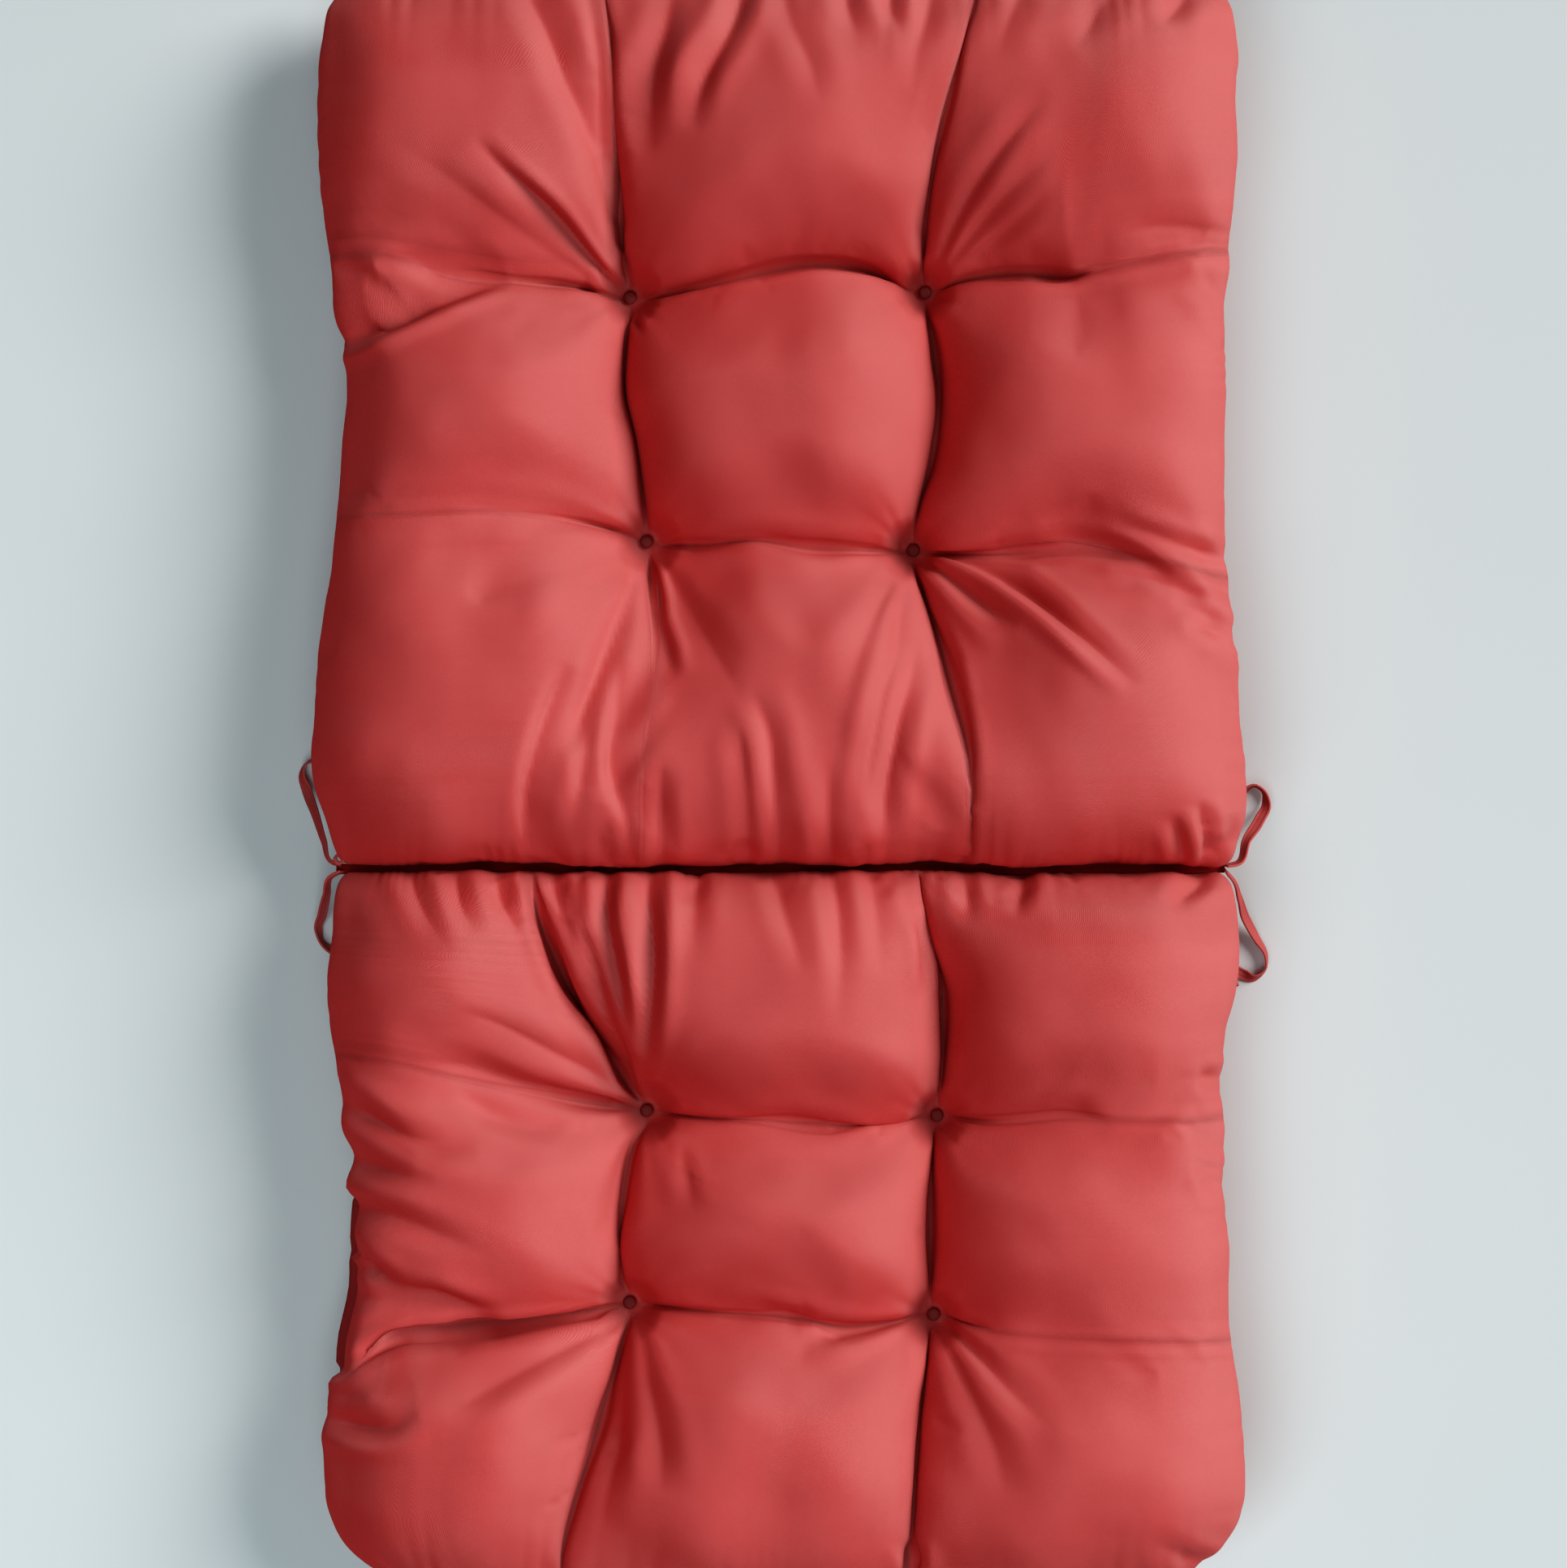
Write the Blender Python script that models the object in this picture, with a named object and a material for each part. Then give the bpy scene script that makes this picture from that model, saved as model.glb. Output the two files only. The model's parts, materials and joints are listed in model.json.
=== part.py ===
"""A button-tufted chair cushion of two filled pockets, lying on its back with its face up.

The longer pocket is for the chair's back and the shorter one for its seat. They meet at a sewn hinge,
which has a pair of tape ties at each end. +X runs across the cushion, +Y towards its head end and +Z
up. The origin is on the surface below, under the middle of the cushion.
"""

import math
from collections import namedtuple

import bmesh
import bpy
import numpy as np

# Driving sizes. Every table below is in millimetres, and METRES turns it into Blender's units.
METRES = 0.001
BACK_LENGTH = 515.0
SEAT_LENGTH = 417.0
HINGE_FROM_MIDDLE = (SEAT_LENGTH - BACK_LENGTH) / 2
CROWN_HEIGHT = 106.0
SEAM_HEIGHT = 47.0
SEAM_THICKNESS = 3.0
HINGE_HALF_WIDTH = 1.5

# The face's rim rises from the seam in this distance, and this is how square its round is.
FACE_RIM = 82.0
FACE_HINGE_RIM = 62.0
FACE_ROUNDNESS = 2.2

# Each pocket rests on one rectangle, which starts this far from the middle, from its end and from
# the hinge. The under panel rounds up from there to the seam.
REST_HALF_WIDTH = 205.0
REST_FROM_END = 58.0
REST_FROM_HINGE = 54.0
UNDER_ROUNDNESS = 2.0

# Grid of the pockets: lines close to an edge, the pad that a button sits on, and the plain spacing.
EDGE_LINES = (0.0, 3.5, 10.0, 20.0, 32.0, 58.0)
TUFT_PAD = 6.5
PAD_EDGE = 1.3 * TUFT_PAD
SPACING = 13.0
LINE_STEPS = 12
SOLVE_ROUNDS = 4
UNDER_MERGE_ANGLE = math.radians(4)

BUTTON_DIAMETER = 8.0
BUTTON_THICKNESS = 3.2
BUTTON_EDGE = 1.2
DIMPLE_RADIUS = 42.0
DIMPLE_DEPTH = 11.0
FIT_GAP = 0.3

TIE_WIDTH = 7.0
TIE_THICKNESS = 1.5
TIE_STEP = 9.0

FABRIC_RED = (0.56, 0.055, 0.045, 1.0)
BUTTON_RED = (0.30, 0.025, 0.025, 1.0)

# The seam's outline: distance from the hinge towards the head, then the left and the right side.
Station = namedtuple("Station", "along left right")
OUTLINE = [
    Station(515, -264, 264),
    Station(450, -267, 266),
    Station(418, -269, 266),
    Station(349, -263, 262),
    Station(286, -253, 259),
    Station(201, -259, 260),
    Station(121, -269, 266),
    Station(75, -271, 271),
    Station(35, -266, 270),
    Station(0, -259, 262),
    Station(-35, -261, 267),
    Station(-73, -264, 264),
    Station(-142, -255, 257),
    Station(-171, -251, 258),
    Station(-245, -257, 261),
    Station(-313, -265, 268),
    Station(-360, -265, 270),
    Station(-417, -264, 270),
]

# Corner rounds at the head, at the two sides of the hinge and at the foot.
HEAD_CORNER = 30.0
HINGE_CORNER = 7.0
FOOT_CORNER = 54.0

# Tuft channels run through the buttons, as two columns and two rows in each pocket, and loose folds
# and pleats lie between them. Each point has its distance right of the middle, its distance from the
# hinge and its depth as a share of the crown. Reach is how far the sides of the channel spread.
Fold = namedtuple("Fold", "name reach points")
Pocket = namedtuple("Pocket", "name left_column right_column far_row near_row folds")

BACK = Pocket(
    "back",
    Fold("left column", 78, [(-104, 515, .10), (-97, 447, .36), (-94, 400, .50), (-89, 336, .62),
                             (-89, 270, .55), (-79, 192, .60), (-73, 138, .34), (-79, 60, .10),
                             (-80, 0, .08)]),
    Fold("right column", 78, [(116, 515, .16), (100, 447, .40), (88, 390, .56), (85, 339, .62),
                              (95, 280, .60), (90, 235, .60), (78, 187, .62), (92, 140, .46),
                              (108, 70, .16), (112, 0, .10)]),
    Fold("far row", 72, [(-270, 362, .14), (-190, 345, .28), (-89, 336, .56), (-30, 346, .46),
                         (30, 353, .42), (85, 339, .56), (150, 345, .42), (270, 360, .10)]),
    Fold("near row", 72, [(-270, 208, .04), (-160, 204, .18), (-79, 192, .52), (0, 190, .38),
                          (78, 187, .54), (161, 185, .36), (230, 175, .20), (270, 166, .08)]),
    [
        Fold("upper left diagonal", 30, [(-178, 418, .04), (-143, 388, .24), (-105, 352, .34)]),
        Fold("left side tuck", 34, [(-160, 344, .16), (-205, 325, .34), (-262, 304, .40)]),
        Fold("top left fold", 24, [(-139, 505, .14), (-122, 457, .20), (-97, 395, .06)]),
        Fold("top pleat one", 18, [(-59, 500, .14), (-69, 469, .16), (-74, 438, .06)]),
        Fold("top pleat two", 18, [(-22, 507, .16), (-31, 475, .16), (-44, 447, .05)]),
        Fold("upper right fan", 24, [(92, 350, .10), (130, 397, .16), (152, 424, .04)]),
        Fold("lower right long", 22, [(90, 186, .10), (147, 158, .24), (202, 112, .05)]),
        Fold("right side ripple", 20, [(190, 184, .08), (228, 176, .18), (262, 166, .14)]),
        Fold("lower left fold", 22, [(-84, 181, .10), (-104, 129, .18), (-135, 75, .22),
                                     (-146, 12, .16)]),
        Fold("lower left pleat", 20, [(-90, 107, .08), (-88, 62, .20), (-81, 12, .14)]),
        Fold("lower middle", 24, [(-29, 100, .05), (-4, 62, .14), (-3, 10, .08)]),
        Fold("lower right pleat", 20, [(83, 114, .08), (70, 65, .22), (69, 10, .16)]),
        Fold("lower right corner", 18, [(242, 45, .05), (246, 24, .18), (241, 8, .16)]),
    ],
)

SEAT = Pocket(
    "seat",
    Fold("left column", 74, [(-138, 0, .18), (-141, -33, .34), (-116, -95, .48), (-79, -143, .62),
                             (-94, -205, .52), (-89, -256, .60), (-104, -315, .40),
                             (-126, -386, .26), (-132, -417, .16)]),
    Fold("right column", 74, [(84, 0, .18), (94, -45, .46), (98, -95, .58), (92, -146, .64),
                              (90, -205, .60), (90, -263, .62), (84, -315, .40), (79, -370, .28),
                              (76, -417, .18)]),
    Fold("far row", 60, [(-270, -100, .04), (-190, -118, .20), (-79, -143, .54), (4, -148, .36),
                         (92, -146, .54), (166, -143, .26), (270, -145, .04)]),
    Fold("near row", 60, [(-270, -292, .06), (-225, -269, .32), (-143, -263, .44), (-89, -256, .54),
                          (-5, -262, .34), (90, -263, .52), (150, -270, .28), (270, -271, .06)]),
    [
        Fold("pleat by left column", 20, [(-100, -8, .12), (-96, -60, .24), (-85, -105, .10)]),
        Fold("straight pleat", 20, [(-75, -8, .10), (-75, -55, .26), (-78, -109, .06)]),
        Fold("left side one", 22, [(-258, -140, .22), (-215, -160, .26), (-169, -160, .05)]),
        Fold("left side two", 20, [(-162, -89, .04), (-129, -100, .14), (-100, -118, .06)]),
        Fold("left side three", 20, [(-255, -224, .14), (-214, -243, .24), (-172, -255, .08)]),
        Fold("left side four", 20, [(-264, -316, .22), (-236, -322, .20), (-205, -311, .05)]),
        Fold("top pleat one", 18, [(-191, -7, .14), (-184, -29, .12), (-172, -48, .03)]),
        Fold("top pleat two", 18, [(34, -7, .14), (34, -35, .14), (33, -60, .03)]),
        Fold("lower right fan", 20, [(103, -271, .06), (133, -298, .14), (166, -331, .03)]),
        Fold("lower left fan", 20, [(-79, -271, .06), (-70, -320, .14), (-62, -376, .06)]),
    ],
)

# Where the filling stands higher or lower than the plain crown.
Swell = namedtuple("Swell", "across along radius height")
SWELLS = [
    Swell(-190, 455, 95, -5), Swell(5, 430, 80, 5), Swell(190, 430, 95, 3),
    Swell(-185, 265, 90, 3), Swell(0, 265, 75, -4), Swell(190, 270, 90, -3),
    Swell(-190, 90, 90, 6), Swell(0, 100, 85, 3), Swell(190, 70, 90, 7),
    Swell(-215, -60, 70, 5), Swell(0, -70, 80, 3), Swell(190, -70, 85, 4),
    Swell(-180, -205, 75, -3), Swell(0, -205, 70, -5), Swell(190, -205, 80, -4),
    Swell(-200, -345, 80, 2), Swell(-20, -345, 80, 4), Swell(190, -345, 90, 5),
]

# Each tie's way from the hinge seam down to the floor, and the turn of its tape there, in degrees:
# 0 lies flat and 90 stands on its edge. The last points are tucked under the cushion's side.
TiePoint = namedtuple("TiePoint", "across along height turn")
TIES = {
    "tie_left_upper": [
        TiePoint(-258.2, 1.6, 46, 80), TiePoint(-264, 4, 44, 75), TiePoint(-269, 16, 36, 60),
        TiePoint(-276, 33, 19, 40), TiePoint(-282, 46, 6, 30), TiePoint(-285, 55, 3.8, 60),
        TiePoint(-283, 61, 3.8, 85), TiePoint(-277, 63.5, 3.8, 70), TiePoint(-269, 61, 2.4, 25),
        TiePoint(-261, 53, 1.2, 0), TiePoint(-256, 42, 1.2, 0), TiePoint(-252, 30, 1.2, 0),
    ],
    "tie_left_lower": [
        TiePoint(-257.5, -1.6, 46, 80), TiePoint(-264, -5, 43, 75), TiePoint(-268, -16, 31, 60),
        TiePoint(-272, -28, 14, 50), TiePoint(-275, -38, 4.5, 60), TiePoint(-273, -45, 3.8, 75),
        TiePoint(-268, -49, 3.2, 50), TiePoint(-261, -51, 1.2, 0), TiePoint(-252, -54, 1.2, 0),
        TiePoint(-246, -63, 1.2, 0), TiePoint(-245, -75, 1.2, 0),
    ],
    "tie_right_upper": [
        TiePoint(260.9, 1.4, 46, 80), TiePoint(268.5, 3, 43, 70), TiePoint(275, 16, 30, 50),
        TiePoint(284, 28, 13, 30), TiePoint(289, 38, 4.4, 50), TiePoint(287.5, 45, 3.8, 80),
        TiePoint(282, 48.5, 3.8, 80), TiePoint(276, 45, 3.4, 60), TiePoint(271, 36, 1.6, 15),
        TiePoint(266, 26, 1.2, 0), TiePoint(259, 20, 1.2, 0), TiePoint(248, 19, 1.2, 0),
    ],
    "tie_right_lower": [
        TiePoint(261.1, -1.6, 46, 80), TiePoint(266, -7, 41, 75), TiePoint(271, -18, 28, 60),
        TiePoint(276, -30, 12, 40), TiePoint(283, -42, 4.4, 50), TiePoint(289, -53, 3.8, 75),
        TiePoint(288.5, -61, 3.8, 85), TiePoint(282, -66, 3.4, 60), TiePoint(275, -64, 1.4, 10),
        TiePoint(270, -62, 1.2, 0), TiePoint(268, -66, 1.2, 0), TiePoint(270, -72, 1.2, 0),
    ],
}


def clear_scene():
    for obj in list(bpy.data.objects):
        bpy.data.objects.remove(obj)


def material(name, color, roughness):
    made = bpy.data.materials.new(name)
    made.use_nodes = True
    shader = made.node_tree.nodes["Principled BSDF"]
    shader.inputs["Base Color"].default_value = color
    shader.inputs["Roughness"].default_value = roughness
    shader.inputs["Metallic"].default_value = 0.0
    made.diffuse_color = color
    return made


def smooth_curve(knots, values, at):
    """A smooth curve through the values, which must be in the order of rising knots."""
    knots = np.asarray(knots, float)
    values = np.asarray(values, float)
    slopes = np.gradient(values, knots)
    place = np.clip(at, knots[0], knots[-1])
    left = np.clip(np.searchsorted(knots, place) - 1, 0, len(knots) - 2)
    span = knots[left + 1] - knots[left]
    part = (place - knots[left]) / span
    rest = 1 - part
    return (values[left] * rest**2 * (1 + 2 * part) + values[left + 1] * part**2 * (1 + 2 * rest)
            + span * part * rest * (slopes[left] * rest - slopes[left + 1] * part))


def corner_inset(distance, radius):
    """How far a round corner draws the side in, at this distance from the pocket's end."""
    inside = np.clip(radius - distance, 0, radius)
    return radius - np.sqrt(radius**2 - inside**2)


def side_edges(along):
    """The left and the right side of the seam's outline, at a distance from the hinge."""
    rows = OUTLINE[::-1]
    knots = [row.along for row in rows]
    inset = (corner_inset(BACK_LENGTH - along, HEAD_CORNER)
             + corner_inset(SEAT_LENGTH + along, FOOT_CORNER)
             + corner_inset(np.abs(along), HINGE_CORNER))
    left = smooth_curve(knots, [row.left for row in rows], along) + inset
    right = smooth_curve(knots, [row.right for row in rows], along) - inset
    return left, right


def follow(fold, at, axis):
    """The fold's place across (axis 0) or along (axis 1) the cushion, where it passes `at`."""
    points = sorted(fold.points, key=lambda point: point[1 - axis])
    return smooth_curve([p[1 - axis] for p in points], [p[axis] for p in points], at)


def rise(distance, radius, roundness):
    """The round of a filled rim, from 0 at the seam to 1 where it meets the crown."""
    outside = 1 - np.clip(distance / radius, 0, 1)
    return (1 - outside**roundness) ** (1 / roundness)


def trough(fold, across, along):
    """The fold's depth at each point, from a smooth line through its own points."""
    points = np.array(fold.points, float)
    steps = np.arange(len(points))
    fine = np.linspace(0, len(points) - 1, LINE_STEPS * (len(points) - 1) + 1)
    line = np.stack([smooth_curve(steps, points[:, column], fine) for column in range(3)], axis=1)
    away = np.hypot(across[:, None] - line[None, :, 0], along[:, None] - line[None, :, 1])
    side = 1 - np.clip(away.min(axis=1) / fold.reach, 0, 1)
    return line[away.argmin(axis=1), 2] * side**2 * (2 - side)


def pocket_folds(pocket):
    return [pocket.left_column, pocket.right_column, pocket.far_row, pocket.near_row, *pocket.folds]


def buttons():
    """Name and place of each button, where a tuft column crosses a tuft row."""
    found = {}
    for pocket in (BACK, SEAT):
        for row_name, row in (("upper", pocket.far_row), ("lower", pocket.near_row)):
            for side, column in (("left", pocket.left_column), ("right", pocket.right_column)):
                across = follow(column, row.points[len(row.points) // 2][1], 0)
                for _ in range(SOLVE_ROUNDS):
                    along = follow(row, across, 1)
                    across = follow(column, along, 0)
                found[f"button_{pocket.name}_{row_name}_{side}"] = (float(across), float(along))
    return found


def crown(across, along):
    """The height of the filled cushion at each point before its rims are rounded."""
    deepest = np.zeros_like(across)
    for pocket, here in ((BACK, along >= 0), (SEAT, along < 0)):
        # A high power keeps the deeper of two troughs, and rounds the line where they cross.
        shares = [trough(fold, across[here], along[here]) ** 4 for fold in pocket_folds(pocket)]
        deepest[here] = np.sum(shares, axis=0) ** 0.25
    height = np.full_like(across, CROWN_HEIGHT)
    for swell in SWELLS:
        away = np.hypot(across - swell.across, along - swell.along) / swell.radius
        height += swell.height * np.exp(-away**2)
    return height * (1 - deepest)


def rim(across, along, side_rim, end_rim, hinge_rim, roundness):
    """How far each point has risen from the seam at the sides, the ends and the hinge."""
    left, right = side_edges(along)
    to_side = np.minimum(across - left, right - across)
    to_end = np.where(along >= 0, BACK_LENGTH - along, SEAT_LENGTH + along)
    to_hinge = np.abs(along) - HINGE_HALF_WIDTH
    return (rise(to_side, side_rim, roundness) * rise(to_end, end_rim, roundness)
            * rise(to_hinge, hinge_rim, roundness))


def face_height(across, along):
    risen = rim(across, along, FACE_RIM, FACE_RIM, FACE_HINGE_RIM, FACE_ROUNDNESS)
    seam = SEAM_HEIGHT + SEAM_THICKNESS / 2
    height = seam * (1 - risen) + crown(across, along) * risen
    for place in buttons().values():
        pad = np.maximum(np.abs(across - place[0]), np.abs(along - place[1])) < PAD_EDGE
        height[pad] = tuft_height(place)
    return height


def tuft_height(place):
    return float(crown(np.array([place[0]]), np.array([place[1]]))[0])


def under_height(across, along):
    left, right = side_edges(along)
    side_rim = np.where(across < 0, -left, right) - REST_HALF_WIDTH
    hinge_rim = REST_FROM_HINGE - HINGE_HALF_WIDTH
    risen = rim(across, along, side_rim, REST_FROM_END, hinge_rim, UNDER_ROUNDNESS)
    height = (SEAM_HEIGHT - SEAM_THICKNESS / 2) * (1 - risen)
    for place in buttons().values():
        away = np.hypot(across - place[0], along - place[1]) / DIMPLE_RADIUS
        height += DIMPLE_DEPTH * np.clip(1 - away, 0, 1) ** 2
    return height


def grid_lines(stations):
    """Line numbers that share out the space between fixed stations, at up to the plain spacing."""
    lines = []
    for number, (first, second) in enumerate(zip(stations, stations[1:])):
        cells = max(1, round(abs(second - first) / SPACING))
        lines += list(number + np.arange(cells) / cells)
    return np.array([*lines, len(stations) - 1])


def edge_lines(edge, inner):
    """The grid's lines close to an edge, spread so that the last one is at the inner place."""
    return [edge + (inner - edge) * step / EDGE_LINES[-1] for step in EDGE_LINES]


def stations_across(along, under):
    """The grid's fixed places across the cushion: its edges and its two tuft columns."""
    left, right = side_edges(along)
    inner_left = np.where(under, -REST_HALF_WIDTH, left + EDGE_LINES[-1])
    inner_right = np.where(under, REST_HALF_WIDTH, right - EDGE_LINES[-1])
    columns = []
    for name in ("left_column", "right_column"):
        back = follow(getattr(BACK, name), np.maximum(along, 0), 0)
        seat = follow(getattr(SEAT, name), np.minimum(along, 0), 0)
        middle = np.where(along >= 0, back, seat)
        columns += [middle - TUFT_PAD, middle, middle + TUFT_PAD]
    return np.array([*edge_lines(left, inner_left), *columns,
                     *edge_lines(right, inner_right)[::-1]])


def stations_along(across):
    """The grid's fixed places along the cushion: its ends, its hinge and its four tuft rows."""
    plain = np.zeros_like(across)
    found = edge_lines(plain + BACK_LENGTH, BACK_LENGTH - REST_FROM_END)
    for pocket, sign in ((BACK, 1), (SEAT, -1)):
        rows = []
        for row in (pocket.far_row, pocket.near_row):
            middle = follow(row, across, 1)
            rows += [middle + TUFT_PAD, middle, middle - TUFT_PAD]
        hinge = edge_lines(plain + sign * HINGE_HALF_WIDTH, sign * REST_FROM_HINGE)
        found += rows + hinge[::-1] if sign > 0 else hinge + rows
    return np.array(found + edge_lines(plain - SEAT_LENGTH, REST_FROM_END - SEAT_LENGTH)[::-1])


def read_stations(stations, line):
    low = np.clip(np.floor(line).astype(int), 0, len(stations) - 2)
    part = line - low
    points = np.arange(len(line))
    return stations[low, points] * (1 - part) + stations[low + 1, points] * part


def cushion():
    """Both filled pockets with the hinge between them: one slab whose points the tables place."""
    middle = np.zeros(1)
    across_lines = grid_lines(stations_across(middle + BACK_LENGTH / 2, False)[:, 0])
    along_lines = grid_lines(stations_along(middle)[:, 0])
    shape = bmesh.new()
    bmesh.ops.create_grid(shape, x_segments=len(across_lines) - 1, y_segments=len(along_lines) - 1,
                          size=1.0)
    raised = bmesh.ops.extrude_face_region(shape, geom=shape.faces[:])
    top = {item for item in raised["geom"] if isinstance(item, bmesh.types.BMVert)}
    shape.verts.ensure_lookup_table()
    is_top = np.array([vertex in top for vertex in shape.verts])
    flat = np.array([vertex.co[:2] for vertex in shape.verts])
    column = np.rint((flat[:, 0] + 1) / 2 * (len(across_lines) - 1)).astype(int)
    row = np.rint((1 - flat[:, 1]) / 2 * (len(along_lines) - 1)).astype(int)

    along = np.zeros(len(flat))
    for _ in range(SOLVE_ROUNDS):
        across = read_stations(stations_across(along, ~is_top), across_lines[column])
        along = read_stations(stations_along(across), along_lines[row])
    height = np.where(is_top, face_height(across, along), under_height(across, along))
    along = along + HINGE_FROM_MIDDLE
    for vertex, place in zip(shape.verts, np.stack([across, along, height], axis=1) * METRES):
        vertex.co = place

    under = [face for face in shape.faces if not any(vertex in top for vertex in face.verts)]
    edges = list({edge for face in under for edge in face.edges})
    corners = list({vertex for face in under for vertex in face.verts})
    bmesh.ops.dissolve_limit(shape, angle_limit=UNDER_MERGE_ANGLE, verts=corners, edges=edges)
    bmesh.ops.recalc_face_normals(shape, faces=shape.faces[:])
    mesh = bpy.data.meshes.new("cushion")
    shape.to_mesh(mesh)
    shape.free()
    mesh.shade_smooth()
    return bpy.data.objects.new("cushion", mesh)


def button_mesh():
    """A small covered button: a short cylinder with a rounded face."""
    shape = bmesh.new()
    radius = BUTTON_DIAMETER / 2 * METRES
    bmesh.ops.create_cone(shape, cap_ends=True, segments=16, radius1=radius, radius2=radius,
                          depth=BUTTON_THICKNESS * METRES)
    face_edges = [edge for edge in shape.edges
                  if all(vertex.co.z > 0 for vertex in edge.verts)]
    bmesh.ops.bevel(shape, geom=face_edges, offset=BUTTON_EDGE * METRES, segments=2, profile=0.6,
                    affect="EDGES")
    mesh = bpy.data.meshes.new("button")
    shape.to_mesh(mesh)
    shape.free()
    mesh.shade_smooth()
    return mesh


def place_button(name, mesh, place):
    button = bpy.data.objects.new(name, mesh)
    height = tuft_height(place) + FIT_GAP + BUTTON_THICKNESS / 2
    button.location = (place[0] * METRES, (place[1] + HINGE_FROM_MIDDLE) * METRES, height * METRES)
    return button


def tie(name, points):
    """A flat tape along a smooth line through the tie's points, turned as they say."""
    places = np.array(points, float)
    steps = np.concatenate([[0], np.cumsum(np.linalg.norm(np.diff(places[:, :3], axis=0), axis=1))])
    fine = np.linspace(0, steps[-1], round(steps[-1] / TIE_STEP) + 1)
    line = np.stack([smooth_curve(steps, places[:, column], fine) for column in range(4)], axis=1)
    curve = bpy.data.curves.new(name, "CURVE")
    curve.dimensions = "3D"
    curve.twist_mode = "Z_UP"
    curve.extrude = (TIE_WIDTH - TIE_THICKNESS) / 2 * METRES
    curve.bevel_depth = TIE_THICKNESS / 2 * METRES
    curve.bevel_resolution = 1
    curve.use_fill_caps = True
    spline = curve.splines.new("POLY")
    spline.points.add(len(line) - 1)
    for point, (across, along, height, turn) in zip(spline.points, line):
        place = np.array([across, along + HINGE_FROM_MIDDLE, height]) * METRES
        point.co = (*place, 1.0)
        point.tilt = math.radians(90 - turn)
    return bpy.data.objects.new(name, curve)


def main():
    clear_scene()
    collection = bpy.data.collections.new("chair_cushion")
    bpy.context.scene.collection.children.link(collection)
    fabric = material("cushion_fabric", FABRIC_RED, 0.85)
    button_fabric = material("button_fabric", BUTTON_RED, 0.7)

    pieces = [(cushion(), fabric)]
    disc = button_mesh()
    pieces += [(place_button(name, disc, place), button_fabric) for name, place in buttons().items()]
    pieces += [(tie(name, points), fabric) for name, points in TIES.items()]
    for piece, finish in pieces:
        if not piece.data.materials:
            piece.data.materials.append(finish)
        collection.objects.link(piece)


main()
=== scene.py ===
# %% [markdown]
# A chair cushion of two filled pockets, sewn together at a hinge, lies on its back and is seen from
# straight above. The imported model already holds it as plain solids. This script dresses them: each
# pocket becomes a finely creased cloth form, and the buttons and the tape ties get their own cloth.
# The frame is loaded first, because every piece is placed in its coordinates.

# %% Load the frame
import json
import math
from collections import namedtuple

import bmesh
import bpy
import numpy as np
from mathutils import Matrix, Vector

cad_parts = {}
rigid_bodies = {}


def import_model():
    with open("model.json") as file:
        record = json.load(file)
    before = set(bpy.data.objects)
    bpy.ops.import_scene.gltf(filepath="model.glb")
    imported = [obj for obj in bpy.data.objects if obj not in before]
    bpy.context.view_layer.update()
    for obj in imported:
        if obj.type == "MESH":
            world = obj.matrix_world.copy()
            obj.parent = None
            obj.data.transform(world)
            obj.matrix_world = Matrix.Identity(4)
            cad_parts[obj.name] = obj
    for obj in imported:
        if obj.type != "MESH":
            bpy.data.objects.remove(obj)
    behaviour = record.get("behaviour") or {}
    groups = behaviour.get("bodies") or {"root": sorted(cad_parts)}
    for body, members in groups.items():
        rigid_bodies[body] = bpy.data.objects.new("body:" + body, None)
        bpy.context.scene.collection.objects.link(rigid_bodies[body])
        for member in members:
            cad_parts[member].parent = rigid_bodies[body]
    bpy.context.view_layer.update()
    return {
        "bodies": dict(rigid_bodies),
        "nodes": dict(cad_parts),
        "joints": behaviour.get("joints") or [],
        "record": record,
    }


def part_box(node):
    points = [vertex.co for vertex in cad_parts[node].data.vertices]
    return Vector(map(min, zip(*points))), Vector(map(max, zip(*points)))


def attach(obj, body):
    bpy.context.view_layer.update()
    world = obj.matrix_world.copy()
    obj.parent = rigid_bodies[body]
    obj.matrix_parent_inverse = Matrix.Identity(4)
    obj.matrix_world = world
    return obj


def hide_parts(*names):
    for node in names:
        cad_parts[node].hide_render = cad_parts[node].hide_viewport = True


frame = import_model()
BODY = "root"
METRES = 0.001

# %% [markdown]
# The tables below are in millimetres. They count across from the middle of the cushion, to the right,
# and along from the hinge, towards the head end. The hinge isn't in the middle, because the pocket for
# the chair's back is longer than the one for its seat.

# %% Driving sizes
BACK_LENGTH = 515.0
SEAT_LENGTH = 417.0
HINGE_FROM_MIDDLE = (SEAT_LENGTH - BACK_LENGTH) / 2
CROWN_HEIGHT = 106.0
SEAM_HEIGHT = 47.0


def in_metres(across, along, height):
    """Points of the tables, in the frame's own place and units."""
    return np.stack([across, along + HINGE_FROM_MIDDLE, height], axis=-1) * METRES


print("hinge lies at y =", HINGE_FROM_MIDDLE * METRES)

# %% [markdown]
# The photograph looks straight down. A camera high above with a long lens keeps the sides of the
# cushion from leaning outwards. Its lens follows from the width of floor that the picture takes in,
# measured at half the height of the cushion.

# %% Camera
VIEW_WIDTH = 0.919
VIEW_MIDDLE = (0.0017, 0.0005)
CAMERA_HEIGHT = 3.0
SUBJECT_HEIGHT = 0.05
SENSOR_WIDTH = 36.0

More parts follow.
